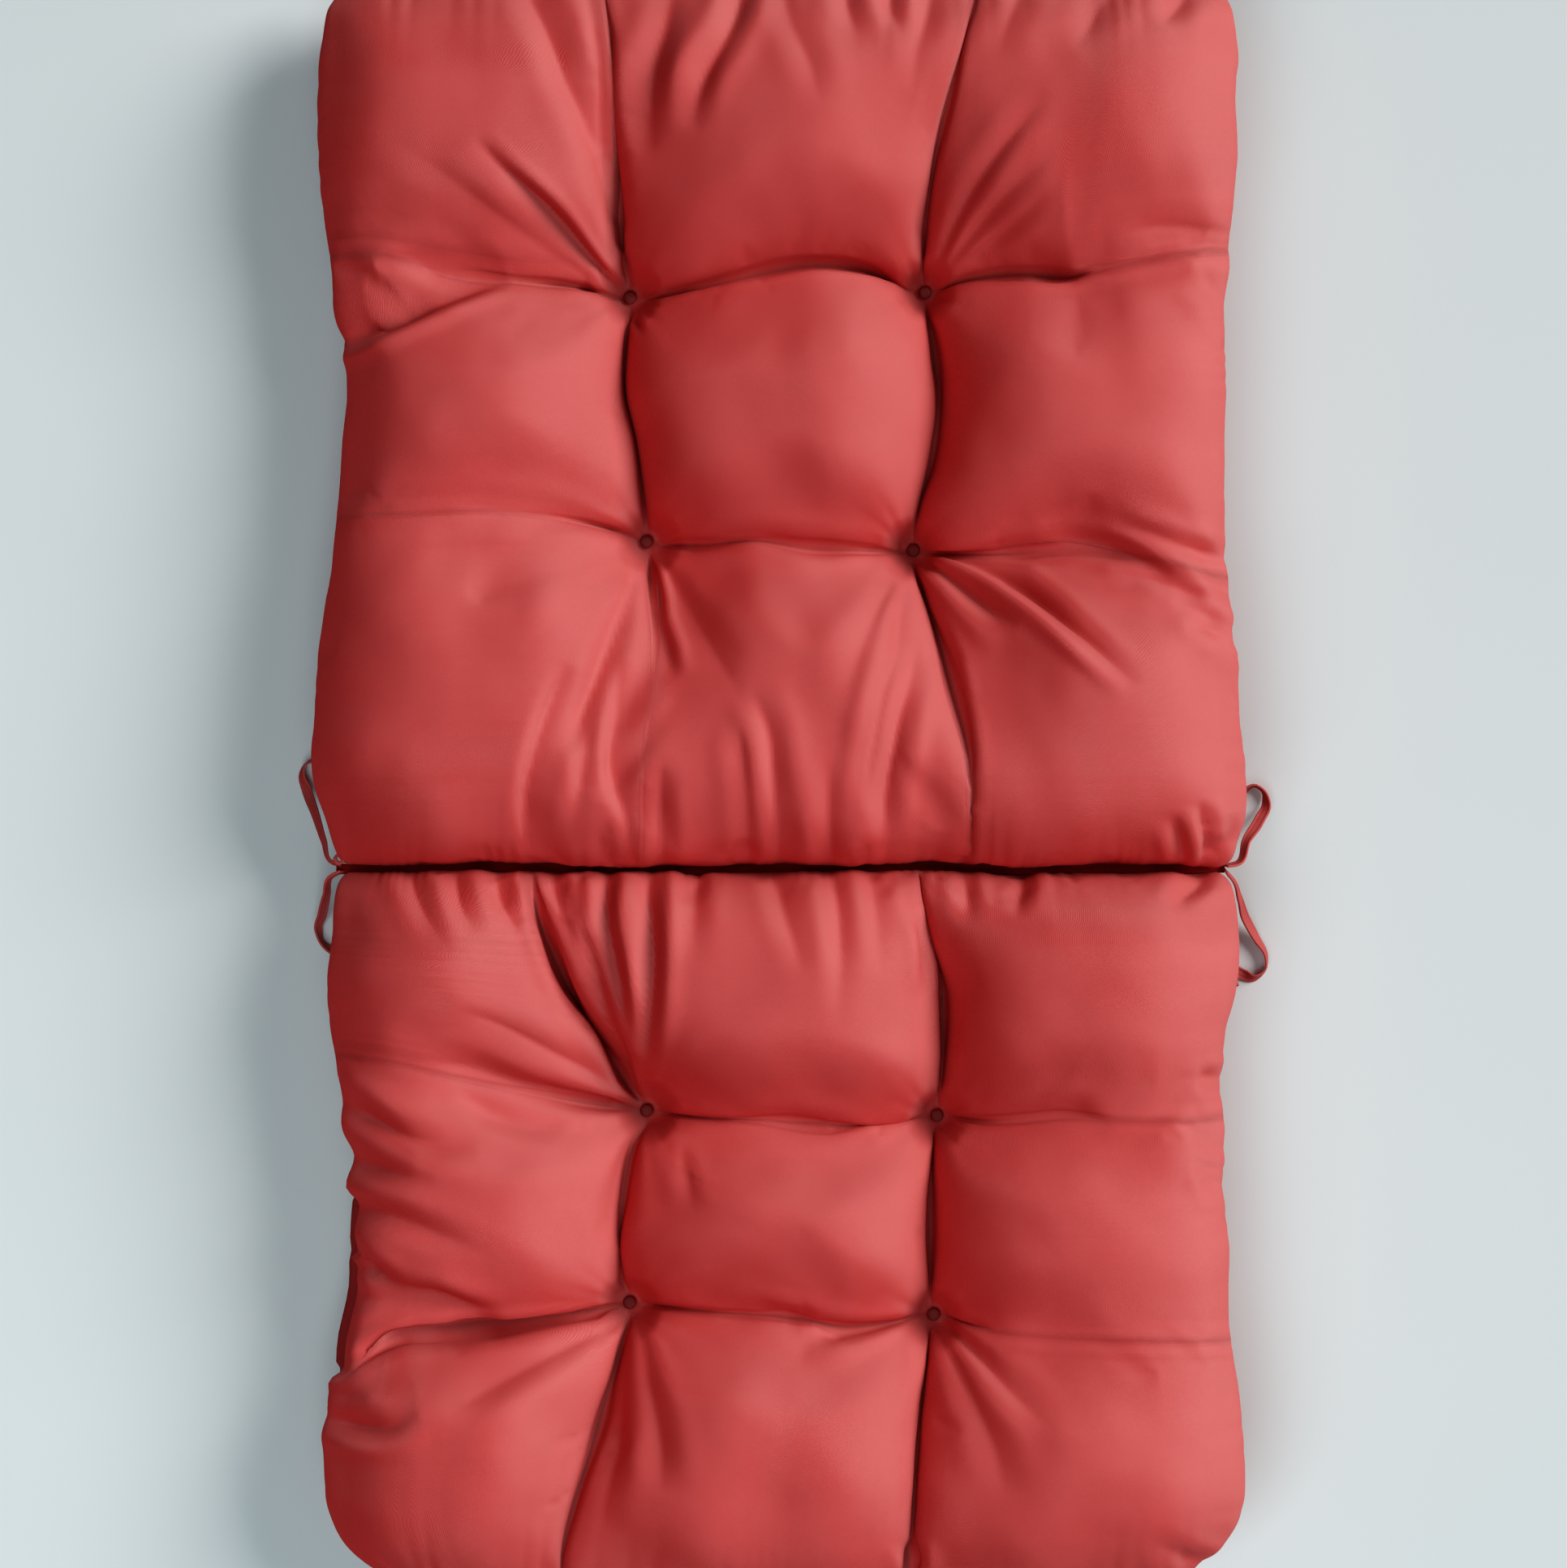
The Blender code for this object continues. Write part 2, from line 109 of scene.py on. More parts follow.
camera_data = bpy.data.cameras.new("camera_above")
camera_data.sensor_width = SENSOR_WIDTH
camera_data.lens = SENSOR_WIDTH * (CAMERA_HEIGHT - SUBJECT_HEIGHT) / VIEW_WIDTH
camera = bpy.data.objects.new("camera_above", camera_data)
camera.location = (*VIEW_MIDDLE, CAMERA_HEIGHT)
bpy.context.scene.collection.objects.link(camera)
bpy.context.scene.camera = camera
print("lens:", round(camera_data.lens, 1), "mm")

# %% [markdown]
# Smooth lines come up everywhere here: the outline, the channels, the folds and the ties all pass
# through a few measured points. A Hermite curve goes through its points exactly and needs no solver,
# so it is written once and used for all of them.

# %% Smooth lines
PATH_STEP = 2.0


def smooth_curve(knots, values, at):
    """A smooth curve through the values, which must be in the order of rising knots."""
    knots = np.asarray(knots, float)
    values = np.asarray(values, float)
    slopes = np.gradient(values, knots)
    place = np.clip(at, knots[0], knots[-1])
    left = np.clip(np.searchsorted(knots, place) - 1, 0, len(knots) - 2)
    span = knots[left + 1] - knots[left]
    part = (place - knots[left]) / span
    rest = 1 - part
    return (values[left] * rest**2 * (1 + 2 * part) + values[left + 1] * part**2 * (1 + 2 * rest)
            + span * part * rest * (slopes[left] * rest - slopes[left + 1] * part))


def smooth_path(points, step=PATH_STEP, lengthwise=3):
    """A dense line through a table's points. The first columns, as many as lengthwise, are places."""
    places = np.array(points, float)
    hops = np.linalg.norm(np.diff(places[:, :lengthwise], axis=0), axis=1)
    knots = np.concatenate([[0], np.cumsum(hops)])
    fine = np.linspace(0, knots[-1], max(2, round(knots[-1] / step)) + 1)
    return np.stack([smooth_curve(knots, column, fine) for column in places.T], axis=1)


def soft_step(value):
    """0 below 0 and 1 above 1, with a smooth way between."""
    value = np.clip(value, 0, 1)
    return value * value * (3 - 2 * value)


print("half way up a soft step:", soft_step(0.5))


# %% [markdown]
# Four tape ties leave the ends of the hinge seam, fall to the floor and tuck under the cushion. A
# tape is flat, so each point also has the turn of the tape there: 0 lies flat and 90 stands on its
# edge. A swept mesh is used, because a curve's own bevel can't have the stitched edge.

# %% Tie routes
TIE_WIDTH = 7.0
TiePoint = namedtuple("TiePoint", "across along height turn")
TIES = {
    "tie_left_upper": [
        TiePoint(-258.2, 1.6, 46, 80), TiePoint(-264, 4, 44, 75), TiePoint(-269, 16, 36, 60),
        TiePoint(-276, 33, 19, 40), TiePoint(-282, 46, 6, 30), TiePoint(-285, 55, 3.8, 60),
        TiePoint(-283, 61, 3.8, 85), TiePoint(-277, 63.5, 3.8, 70), TiePoint(-269, 61, 2.4, 25),
        TiePoint(-261, 53, 1.2, 0), TiePoint(-256, 42, 1.2, 0), TiePoint(-252, 30, 1.2, 0),
    ],
    "tie_left_lower": [
        TiePoint(-257.5, -1.6, 46, 80), TiePoint(-264, -5, 43, 75), TiePoint(-268, -16, 31, 60),
        TiePoint(-272, -28, 14, 50), TiePoint(-275, -38, 4.5, 60), TiePoint(-273, -45, 3.8, 75),
        TiePoint(-268, -49, 3.2, 50), TiePoint(-261, -51, 1.2, 0), TiePoint(-252, -54, 1.2, 0),
        TiePoint(-246, -63, 1.2, 0), TiePoint(-245, -75, 1.2, 0),
    ],
    "tie_right_upper": [
        TiePoint(260.9, 1.4, 46, 80), TiePoint(268.5, 3, 43, 70), TiePoint(275, 16, 30, 50),
        TiePoint(284, 28, 13, 30), TiePoint(289, 38, 4.4, 50), TiePoint(287.5, 45, 3.8, 80),
        TiePoint(282, 48.5, 3.8, 80), TiePoint(276, 45, 3.4, 60), TiePoint(271, 36, 1.6, 15),
        TiePoint(266, 26, 1.2, 0), TiePoint(259, 20, 1.2, 0), TiePoint(248, 19, 1.2, 0),
    ],
    "tie_right_lower": [
        TiePoint(261.1, -1.6, 46, 80), TiePoint(266, -7, 41, 75), TiePoint(271, -18, 28, 60),
        TiePoint(276, -30, 12, 40), TiePoint(283, -42, 4.4, 50), TiePoint(289, -53, 3.8, 75),
        TiePoint(288.5, -61, 3.8, 85), TiePoint(282, -66, 3.4, 60), TiePoint(275, -64, 1.4, 10),
        TiePoint(270, -62, 1.2, 0), TiePoint(268, -66, 1.2, 0), TiePoint(270, -72, 1.2, 0),
    ],
}

# %% [markdown]
# The tape is narrow cloth with both raw edges folded in and sewn down. That shows as a thicker bead
# along each edge and a thinner middle. The section below is the tape's upper side with those beads,
# and is mirrored for the lower one. Each point is a share of the width and a height in millimetres.

# %% Tie tapes
TAPE_STEP = 1.6
SectionPoint = namedtuple("SectionPoint", "aside height")
TAPE_SECTION = [
    SectionPoint(-.50, 0), SectionPoint(-.485, .42), SectionPoint(-.44, .66), SectionPoint(-.37, .70),
    SectionPoint(-.30, .56), SectionPoint(-.27, .40), SectionPoint(-.14, .47), SectionPoint(0, .50),
    SectionPoint(.14, .47), SectionPoint(.27, .40), SectionPoint(.30, .56), SectionPoint(.37, .70),
    SectionPoint(.44, .66), SectionPoint(.485, .42), SectionPoint(.50, 0),
]


def tape_frames(line):
    """The tape's middle points, the way its width goes at each one and the way its face looks."""
    middle = in_metres(line[:, 0], line[:, 1], line[:, 2])
    ahead = np.gradient(middle, axis=0)
    ahead /= np.linalg.norm(ahead, axis=1)[:, None]
    level = np.cross(ahead, (0, 0, 1))
    level /= np.linalg.norm(level, axis=1)[:, None]
    upright = np.cross(level, ahead)
    turn = np.radians(line[:, 3])[:, None]
    width = level * np.cos(turn) + upright * np.sin(turn)
    return middle, width, np.cross(width, ahead)


def grid_mesh(name, rows, uvs):
    """A closed tube from rows of points that each go round once, with a cap at either end."""
    count, around = rows.shape[:2]
    index = np.arange(count * around).reshape(count, around)
    ahead = np.roll(index, -1, axis=1)
    quads = np.stack([index[:-1], ahead[:-1], ahead[1:], index[1:]], axis=-1).reshape(-1, 4)
    faces = [*quads.tolist(), index[0, ::-1].tolist(), index[-1].tolist()]
    mesh = bpy.data.meshes.new(name)
    mesh.from_pydata(rows.reshape(-1, 3).tolist(), [], faces)
    layer = mesh.uv_layers.new(name="cloth")
    corners = np.array([loop.vertex_index for loop in mesh.loops])
    layer.data.foreach_set("uv", uvs.reshape(-1, 2)[corners].ravel())
    shape = bmesh.new()
    shape.from_mesh(mesh)
    bmesh.ops.recalc_face_normals(shape, faces=shape.faces[:])
    shape.to_mesh(mesh)
    shape.free()
    mesh.shade_smooth()
    return mesh


def add_piece(name, mesh, plain_node):
    """A piece of the scene, tied to its body, which hides the node of the plain model it stands for."""
    piece = bpy.data.objects.new(name, mesh)
    bpy.context.scene.collection.objects.link(piece)
    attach(piece, BODY)
    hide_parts(plain_node)
    return piece


def tape_tie(name, points):
    line = smooth_path(points, TAPE_STEP)
    middle, width, face = tape_frames(line)
    loop = [*TAPE_SECTION, *(SectionPoint(p.aside, -p.height) for p in TAPE_SECTION[-2:0:-1])]
    aside = np.array([point.aside for point in loop]) * TIE_WIDTH * METRES
    height = np.array([point.height for point in loop]) * METRES
    rows = (middle[:, None] + width[:, None] * aside[None, :, None]
            + face[:, None] * height[None, :, None])
    run = np.concatenate([[0], np.cumsum(np.linalg.norm(np.diff(middle, axis=0), axis=1))])
    uvs = np.stack(np.broadcast_arrays(aside[None, :], run[:, None]), axis=-1)
    piece = add_piece(name + "_tape", grid_mesh(name, rows, uvs), name)
    print(name, "is", round(float(run[-1]) * 1000), "mm long")
    return piece


tapes = [tape_tie(name, points) for name, points in TIES.items()]

# %% [markdown]
# Seen from above, the cushion's outline swells and narrows, because the filling fills each pocket
# unevenly between its tufts. The rows below are measured every few centimetres down both sides. Its
# corners are rounded off by quarter circles at the head and the foot, and slightly at the hinge.

# %% Outline
Station = namedtuple("Station", "along left right")
OUTLINE = [
    Station(515, -263, 263), Station(497, -266, 265), Station(475, -269, 267),
    Station(450, -270, 266), Station(418, -269, 266), Station(389, -267, 264),
    Station(349, -262, 261), Station(316, -260, 260), Station(302, -255, 260),
    Station(280, -253, 260), Station(250, -256, 260), Station(213, -258, 260),
    Station(180, -262, 260), Station(155, -266, 263), Station(121, -270, 267),
    Station(87, -272, 269), Station(52, -272, 271), Station(29, -266, 270),
    Station(8, -260, 264), Station(0, -257, 260), Station(-10, -260, 264),
    Station(-40, -262, 267), Station(-70, -264, 265), Station(-97, -262, 260),
    Station(-120, -258, 258), Station(-152, -255, 258), Station(-165, -250, 259),
    Station(-190, -253, 259), Station(-222, -255, 262), Station(-245, -255, 262),
    Station(-280, -262, 264), Station(-300, -263, 267), Station(-325, -266, 269),
    Station(-350, -266, 270), Station(-385, -264, 270), Station(-417, -262, 268),
]
HEAD_CORNER = 15.0
HINGE_CORNER = 7.0
FOOT_CORNER = 54.0


def corner_inset(distance, radius):
    """How far a round corner draws the side in, at this distance from the pocket's end."""
    inside = np.clip(radius - distance, 0, radius)
    return radius - np.sqrt(radius**2 - inside**2)


def side_edges(along):
    """The left and the right side of the outline, at a distance from the hinge."""
    rows = OUTLINE[::-1]
    knots = [row.along for row in rows]
    inset = (corner_inset(BACK_LENGTH - along, HEAD_CORNER)
             + corner_inset(SEAT_LENGTH + along, FOOT_CORNER)
             + corner_inset(np.abs(along), HINGE_CORNER))
    left = smooth_curve(knots, [row.left for row in rows], along) + inset
    right = smooth_curve(knots, [row.right for row in rows], along) - inset
    return left, right


print("outline rows:", len(OUTLINE))

# %% [markdown]
# Strong thread pulls the face down at eight buttons, and the cloth between them sinks into channels.
# A channel is a puff on each side that meets its neighbour in a narrow slit, so it is a soft trough
# whose middle turns sharp. Each point below has its place, the channel's depth as a share of the
# crown, and how sharp it is there, from 0 to 1. Reach is how far the trough's sides spread.

# %% Tuft channels
Channel = namedtuple("Channel", "name reach points")
BACK_CHANNELS = [
    Channel("left column", 80, [(-105, 515, .06, .2), (-99, 481, .14, .4), (-96, 443, .26, .7),
         (-94, 400, .42, .9), (-93, 362, .57, 1), (-89, 335, .63, 1), (-92, 305, .6, 1), (-92, 278, .58, 1),
         (-86, 252, .56, .9), (-82, 221, .58, 1), (-79, 192, .61, 1), (-77, 164, .44, .4),
         (-74, 136, .28, .1), (-75, 107, .16, 0), (-79, 67, .07, 0), (-82, 5, .03, 0)]),
    Channel("right column", 80, [(117, 515, .04, .5), (109, 486, .08, .6), (99, 447, .14, .7),
         (89, 402, .29, .9), (85, 362, .56, 1), (85, 339, .63, 1), (91, 307, .6, 1), (94, 276, .6, 1),
         (90, 240, .6, 1), (82, 212, .6, 1), (78, 186, .63, 1), (85, 159, .49, .8), (94, 131, .34, .6),
         (102, 100, .2, .5), (109, 71, .1, .3), (112, 5, .06, .1)]),
    Channel("far row", 72, [(-271, 355, .04, 0), (-244, 357, .12, 0), (-206, 350, .24, 0),
         (-163, 344, .34, .1), (-125, 341, .46, .4), (-89, 335, .6, .8), (-53, 339, .5, .6),
         (-15, 347, .44, .6), (18, 352, .42, .6), (47, 350, .46, .6), (85, 339, .6, .8),
         (113, 345, .48, .5), (142, 347, .4, .5), (173, 345, .34, .4), (185, 348, .28, .1),
         (223, 355, .18, 0), (270, 363, .05, 0)]),
    Channel("near row", 70, [(-271, 204, .02, 0), (-220, 205, .05, 0), (-172, 207, .13, 0),
         (-134, 204, .26, .1), (-106, 200, .4, .3), (-79, 192, .58, .7), (-49, 189, .46, .4),
         (-15, 191, .38, .3), (18, 187, .38, .3), (47, 186, .42, .4), (78, 186, .58, .8),
         (104, 184, .48, .5), (137, 184, .42, .3), (166, 186, .34, .1), (208, 181, .22, 0),
         (270, 167, .05, 0)]),
]
SEAT_CHANNELS = [
    Channel("left column", 76, [(-146, -3, .12, .3), (-142, -29, .26, .6), (-129, -62, .4, .8),
         (-115, -89, .48, .9), (-100, -113, .54, .9), (-88, -132, .59, 1), (-79, -142, .62, 1),
         (-87, -164, .56, .8), (-92, -190, .52, .7), (-95, -219, .52, .7), (-93, -243, .56, .8),
         (-89, -257, .62, 1), (-94, -278, .54, .9), (-101, -305, .48, .9), (-110, -336, .42, .8),
         (-120, -367, .36, .8), (-128, -397, .3, .7), (-130, -417, .25, .6)]),
    Channel("right column", 76, [(81, -3, .16, .5), (84, -20, .28, .8), (90, -40, .42, 1),
         (96, -69, .52, 1), (97, -98, .56, 1), (95, -126, .6, 1), (92, -146, .63, 1), (90, -171, .6, 1),
         (89, -205, .58, 1), (89, -238, .6, 1), (89, -263, .63, 1), (87, -286, .54, .9),
         (83, -314, .46, .9), (80, -347, .38, .9), (78, -381, .34, .9), (75, -417, .28, .8)]),
    Channel("far row", 62, [(-268, -108, .03, 0), (-229, -111, .08, 0), (-191, -120, .18, 0),
         (-153, -129, .3, .1), (-115, -137, .46, .4), (-79, -143, .58, .7), (-44, -146, .46, .4),
         (-6, -147, .38, .2), (37, -150, .4, .3), (66, -149, .48, .4), (92, -146, .58, .7),
         (123, -147, .37, .2), (166, -143, .22, .1), (208, -145, .1, 0), (270, -144, .02, 0)]),
    Channel("near row", 62, [(-268, -314, .05, 0), (-248, -288, .16, .1), (-227, -272, .3, .4),
         (-191, -268, .42, .7), (-153, -264, .46, .8), (-120, -260, .52, .8), (-89, -257, .6, .9),
         (-53, -258, .44, .4), (-20, -260, .36, .3), (11, -262, .34, .3), (37, -267, .36, .4),
         (66, -266, .46, .5), (89, -263, .58, .7), (123, -268, .3, 0), (161, -270, .17, 0),
         (208, -271, .07, 0), (270, -274, .02, 0)]),
]

print("channels:", [channel.name for channel in BACK_CHANNELS + SEAT_CHANNELS])

# %% [markdown]
# Loose cloth between the channels lies in soft folds and pleats. Each fold follows the points given
# for it from the photograph, with a depth in millimetres at each one. Walking along the points, width
# is how far it spreads on the left and on the right, and lip is how high the cloth stands up beside
# it, as a share of the depth.

# %% Loose folds
Fold = namedtuple("Fold", "name width lip points")
BACK_FOLDS = [
    Fold("upper left diagonal", (4, 9), (.25, .15), [(-179, 423, 0), (-167, 410, 4), (-149, 393, 8),
         (-129, 374, 10), (-110, 354, 9), (-92, 338, 4)]),
    Fold("second diagonal", (8, 7), (.2, .4), [(-234, 426, 0), (-191, 397, 1.5), (-153, 370, 3),
         (-115, 345, 3)]),
    Fold("left row crease", (8, 5), (.1, .2), [(-227, 358, 0), (-215, 354, 2), (-206, 350, 3),
         (-172, 345, 3), (-125, 341, 3), (-91, 336, 1)]),
    Fold("left side tuck", (4.5, 17), (.35, 0), [(-159, 343, 0), (-177, 337, 5), (-196, 330, 9),
         (-220, 321, 12), (-241, 312, 13), (-253, 307, 11)]),
    Fold("top left fold", (9, 8), (.5, .2), [(-153, 515, 2), (-140, 495, 5), (-125, 459, 6), (-108, 419, 5),
         (-98, 381, 2)]),
    Fold("left of column", (6, 5), (.5, 0), [(-115, 515, 1), (-108, 481, 3), (-104, 447, 4), (-100, 405, 4),
         (-96, 367, 2)]),
    Fold("top pleat one", (7, 8), (.3, .5), [(-62, 515, 1), (-67, 490, 4), (-75, 462, 5), (-77, 433, 2),
         (-76, 414, 0)]),
    Fold("top pleat two", (6, 7), (.3, .5), [(-21, 515, 4), (-24, 502, 6), (-32, 481, 5), (-45, 457, 6),
         (-50, 438, 2), (-50, 424, 0)]),
    Fold("top pleat three", (6, 6), (.4, .3), [(37, 515, 4), (39, 502, 4), (43, 486, 1), (45, 471, 0)]),
    Fold("top pleat four", (5, 6), (.3, .4), [(66, 515, 4), (65, 500, 4), (69, 486, 1), (69, 471, 0)]),
    Fold("top pleat five", (7, 7), (.3, .3), [(1, 515, 2), (6, 490, 2), (18, 462, 2), (23, 438, 0)]),
    Fold("top pleat six", (7, 6), (.3, .4), [(89, 515, 3), (85, 495, 3), (79, 471, 2), (77, 447, 0)]),
    Fold("top right fold", (7, 6), (.3, .3), [(143, 515, 2), (136, 497, 2), (130, 481, 1), (126, 466, 0)]),
    Fold("top right corner one", (7, 7), (.3, .4), [(238, 509, 5), (229, 497, 4), (222, 487, 0)]),
    Fold("top right corner two", (8, 8), (.3, .3), [(191, 509, 3), (182, 493, 3), (171, 471, 0)]),
    Fold("right fan one", (6, 4.5), (.3, .3), [(89, 343, 1), (101, 371, 3.5), (118, 401, 3.5),
         (137, 426, 2.5), (156, 448, 0)]),
    Fold("right fan two", (6, 4.5), (.3, .3), [(89, 342, 1), (111, 366, 3), (132, 388, 3), (161, 416, 0)]),
    Fold("right fan three", (5, 4), (.3, .3), [(94, 347, 0), (113, 356, 2), (135, 371, 2.5),
         (156, 390, 0)]),
    Fold("right row crease", (9, 3), (.1, .3), [(89, 340, 1), (113, 345, 3), (142, 346, 4), (164, 345, 4.5),
         (173, 345, 2.5), (182, 346, 0)]),
    Fold("right row second crease", (9, 3), (.1, .3), [(171, 349, 0), (182, 349, 4), (204, 352, 4),
         (230, 358, 1), (237, 360, 0)]),
    Fold("right side ripple one", (7, 6), (.3, .3), [(199, 369, 0), (223, 371, 2.5), (247, 371, 3.5),
         (266, 371, 3)]),
    Fold("right side ripple two", (6, 6), (.3, .4), [(213, 362, 0), (235, 363, 3), (266, 362, 4)]),
    Fold("right side ripple three", (7, 7), (.3, .4), [(246, 352, 0), (252, 339, 3), (261, 326, 3)]),
    Fold("middle row crease", (9, 2.5), (0, .3), [(-77, 335, 1), (-53, 339, 4), (-15, 347, 5), (18, 352, 5),
         (47, 350, 4), (75, 343, 1)]),
    Fold("short crease below button one", (4, 4), (.4, .4), [(-87, 329, 0), (-85, 321, 3), (-82, 312, 0)]),
    Fold("right lower row crease", (5, 6), (.2, .4), [(85, 185, 1), (113, 184, 3), (151, 186, 3),
         (175, 188, 2), (194, 184, 1), (208, 180, 0)]),
    Fold("lower middle row crease", (6, 6), (.2, .5), [(-53, 189, 1), (-20, 194, 3), (18, 189, 4),
         (47, 188, 2), (66, 187, 0)]),
    Fold("left lower row crease", (7, 7), (.3, .5), [(-191, 210, 0), (-163, 208, 2), (-129, 204, 3),
         (-101, 198, 3), (-84, 193, 1)]),
    Fold("right ripple one", (5, 5), (.5, .4), [(161, 191, 0), (185, 188, 3), (206, 182, 5), (218, 176, 4),
         (230, 169, 0)]),
    Fold("right ripple two", (5, 5), (.5, .4), [(194, 200, 0), (213, 195, 3), (232, 188, 4), (256, 181, 4),
         (266, 178, 3)]),
    Fold("right ripple three", (4.5, 5), (.5, .4), [(192, 174, 0), (208, 170, 3), (228, 166, 3),
         (247, 158, 2), (256, 153, 0)]),
    Fold("right ripple four", (4.5, 5), (.5, .4), [(242, 176, 0), (254, 168, 4), (263, 155, 4)]),
    Fold("right ripple five", (6, 6), (.3, .4), [(235, 139, 0), (249, 140, 4), (266, 133, 5)]),
    Fold("right ripple six", (6, 6), (.3, .3), [(228, 157, 0), (244, 150, 4), (266, 140, 3)]),
    Fold("lower right long", (5, 5), (.2, .7), [(89, 185, 1), (111, 179, 4), (132, 169, 7), (156, 152, 8),
         (175, 136, 6), (194, 118, 3), (208, 106, 0)]),
    Fold("lower right short", (6, 7), (.2, .4), [(85, 181, 3), (104, 166, 6), (123, 151, 5),
         (138, 140, 0)]),
    Fold("below button four left", (7, 6), (.2, .5), [(76, 169, 0), (71, 150, 3), (68, 129, 4),
         (59, 100, 5), (54, 71, 5), (51, 52, 3), (50, 33, 0)]),
    Fold("ridge valley four", (6, 6), (.4, .6), [(82, 138, 0), (77, 114, 3), (69, 86, 6), (65, 62, 6),
         (61, 33, 4), (62, 14, 1)]),
    Fold("lower right valley", (4, 6), (.4, .1), [(89, 152, 0), (96, 129, 2), (103, 102, 3), (109, 71, 3),
         (112, 40, 1)]),
    Fold("below button three one", (6, 6), (.4, .2), [(-84, 179, 1), (-94, 148, 4), (-105, 114, 6),
         (-112, 94, 6), (-121, 74, 2), (-125, 67, 0)]),
    Fold("below button three two", (4, 7), (.6, .1), [(-77, 183, 1), (-73, 164, 3), (-71, 143, 3),
         (-66, 126, 3), (-62, 109, 0)]),
    Fold("faint left one", (11, 11), (.2, .2), [(-101, 185, 1), (-125, 175, 1.5), (-153, 166, 1.2),
         (-182, 157, 0)]),
    Fold("faint left two", (11, 10), (.2, .2), [(-91, 181, 1), (-113, 164, 1.5), (-134, 143, 1.2),
         (-153, 124, 0)]),
    Fold("lower left valley", (15, 4), (.1, .05), [(-123, 119, 0), (-129, 106, 4), (-143, 69, 6),
         (-149, 40, 6.5), (-149, 19, 4), (-149, 7, 1)]),
    Fold("lower left valley two", (13, 4), (.1, .05), [(-92, 121, 0), (-95, 100, 5), (-99, 69, 6.5),
         (-97, 48, 6), (-91, 30, 4), (-88, 10, 1)]),
    Fold("lower left valley three", (5, 5), (.3, .4), [(-108, 86, 0), (-113, 67, 3), (-116, 48, 3),
         (-121, 29, 1), (-122, 10, 0)]),
    Fold("lower pleat one", (6, 6), (.4, .4), [(-69, 67, 0), (-70, 43, 3), (-70, 7, 2)]),
    Fold("lower pleat two", (7, 6), (.4, .5), [(-18, 105, 0), (-8, 81, 4), (-5, 57, 5), (-3, 33, 3),
         (-2, 7, 2)]),
    Fold("lower pleat three", (6, 6), (.4, .4), [(-24, 88, 0), (-22, 67, 3), (-19, 38, 2), (-18, 7, 2)]),
    Fold("lower pleat four", (6, 6), (.4, .4), [(28, 67, 0), (28, 33, 3), (29, 7, 3)]),
    Fold("lower middle fan one", (9, 9), (.3, .3), [(-71, 181, 1), (-53, 148, 2.5), (-32, 114, 2),
         (-18, 90, 0)]),
    Fold("lower middle fan two", (9, 9), (.3, .3), [(71, 176, 1), (56, 148, 2.5), (44, 119, 2),
         (38, 90, 0)]),
    Fold("corner gather one", (5, 5), (.5, .5), [(228, 33, 0), (233, 21, 4), (238, 6, 5)]),
    Fold("corner gather two", (5, 5), (.5, .5), [(244, 40, 0), (248, 24, 6), (249, 6, 6)]),
    Fold("corner gather three", (5, 5), (.5, .5), [(261, 33, 0), (262, 21, 5), (255, 10, 5)]),
]
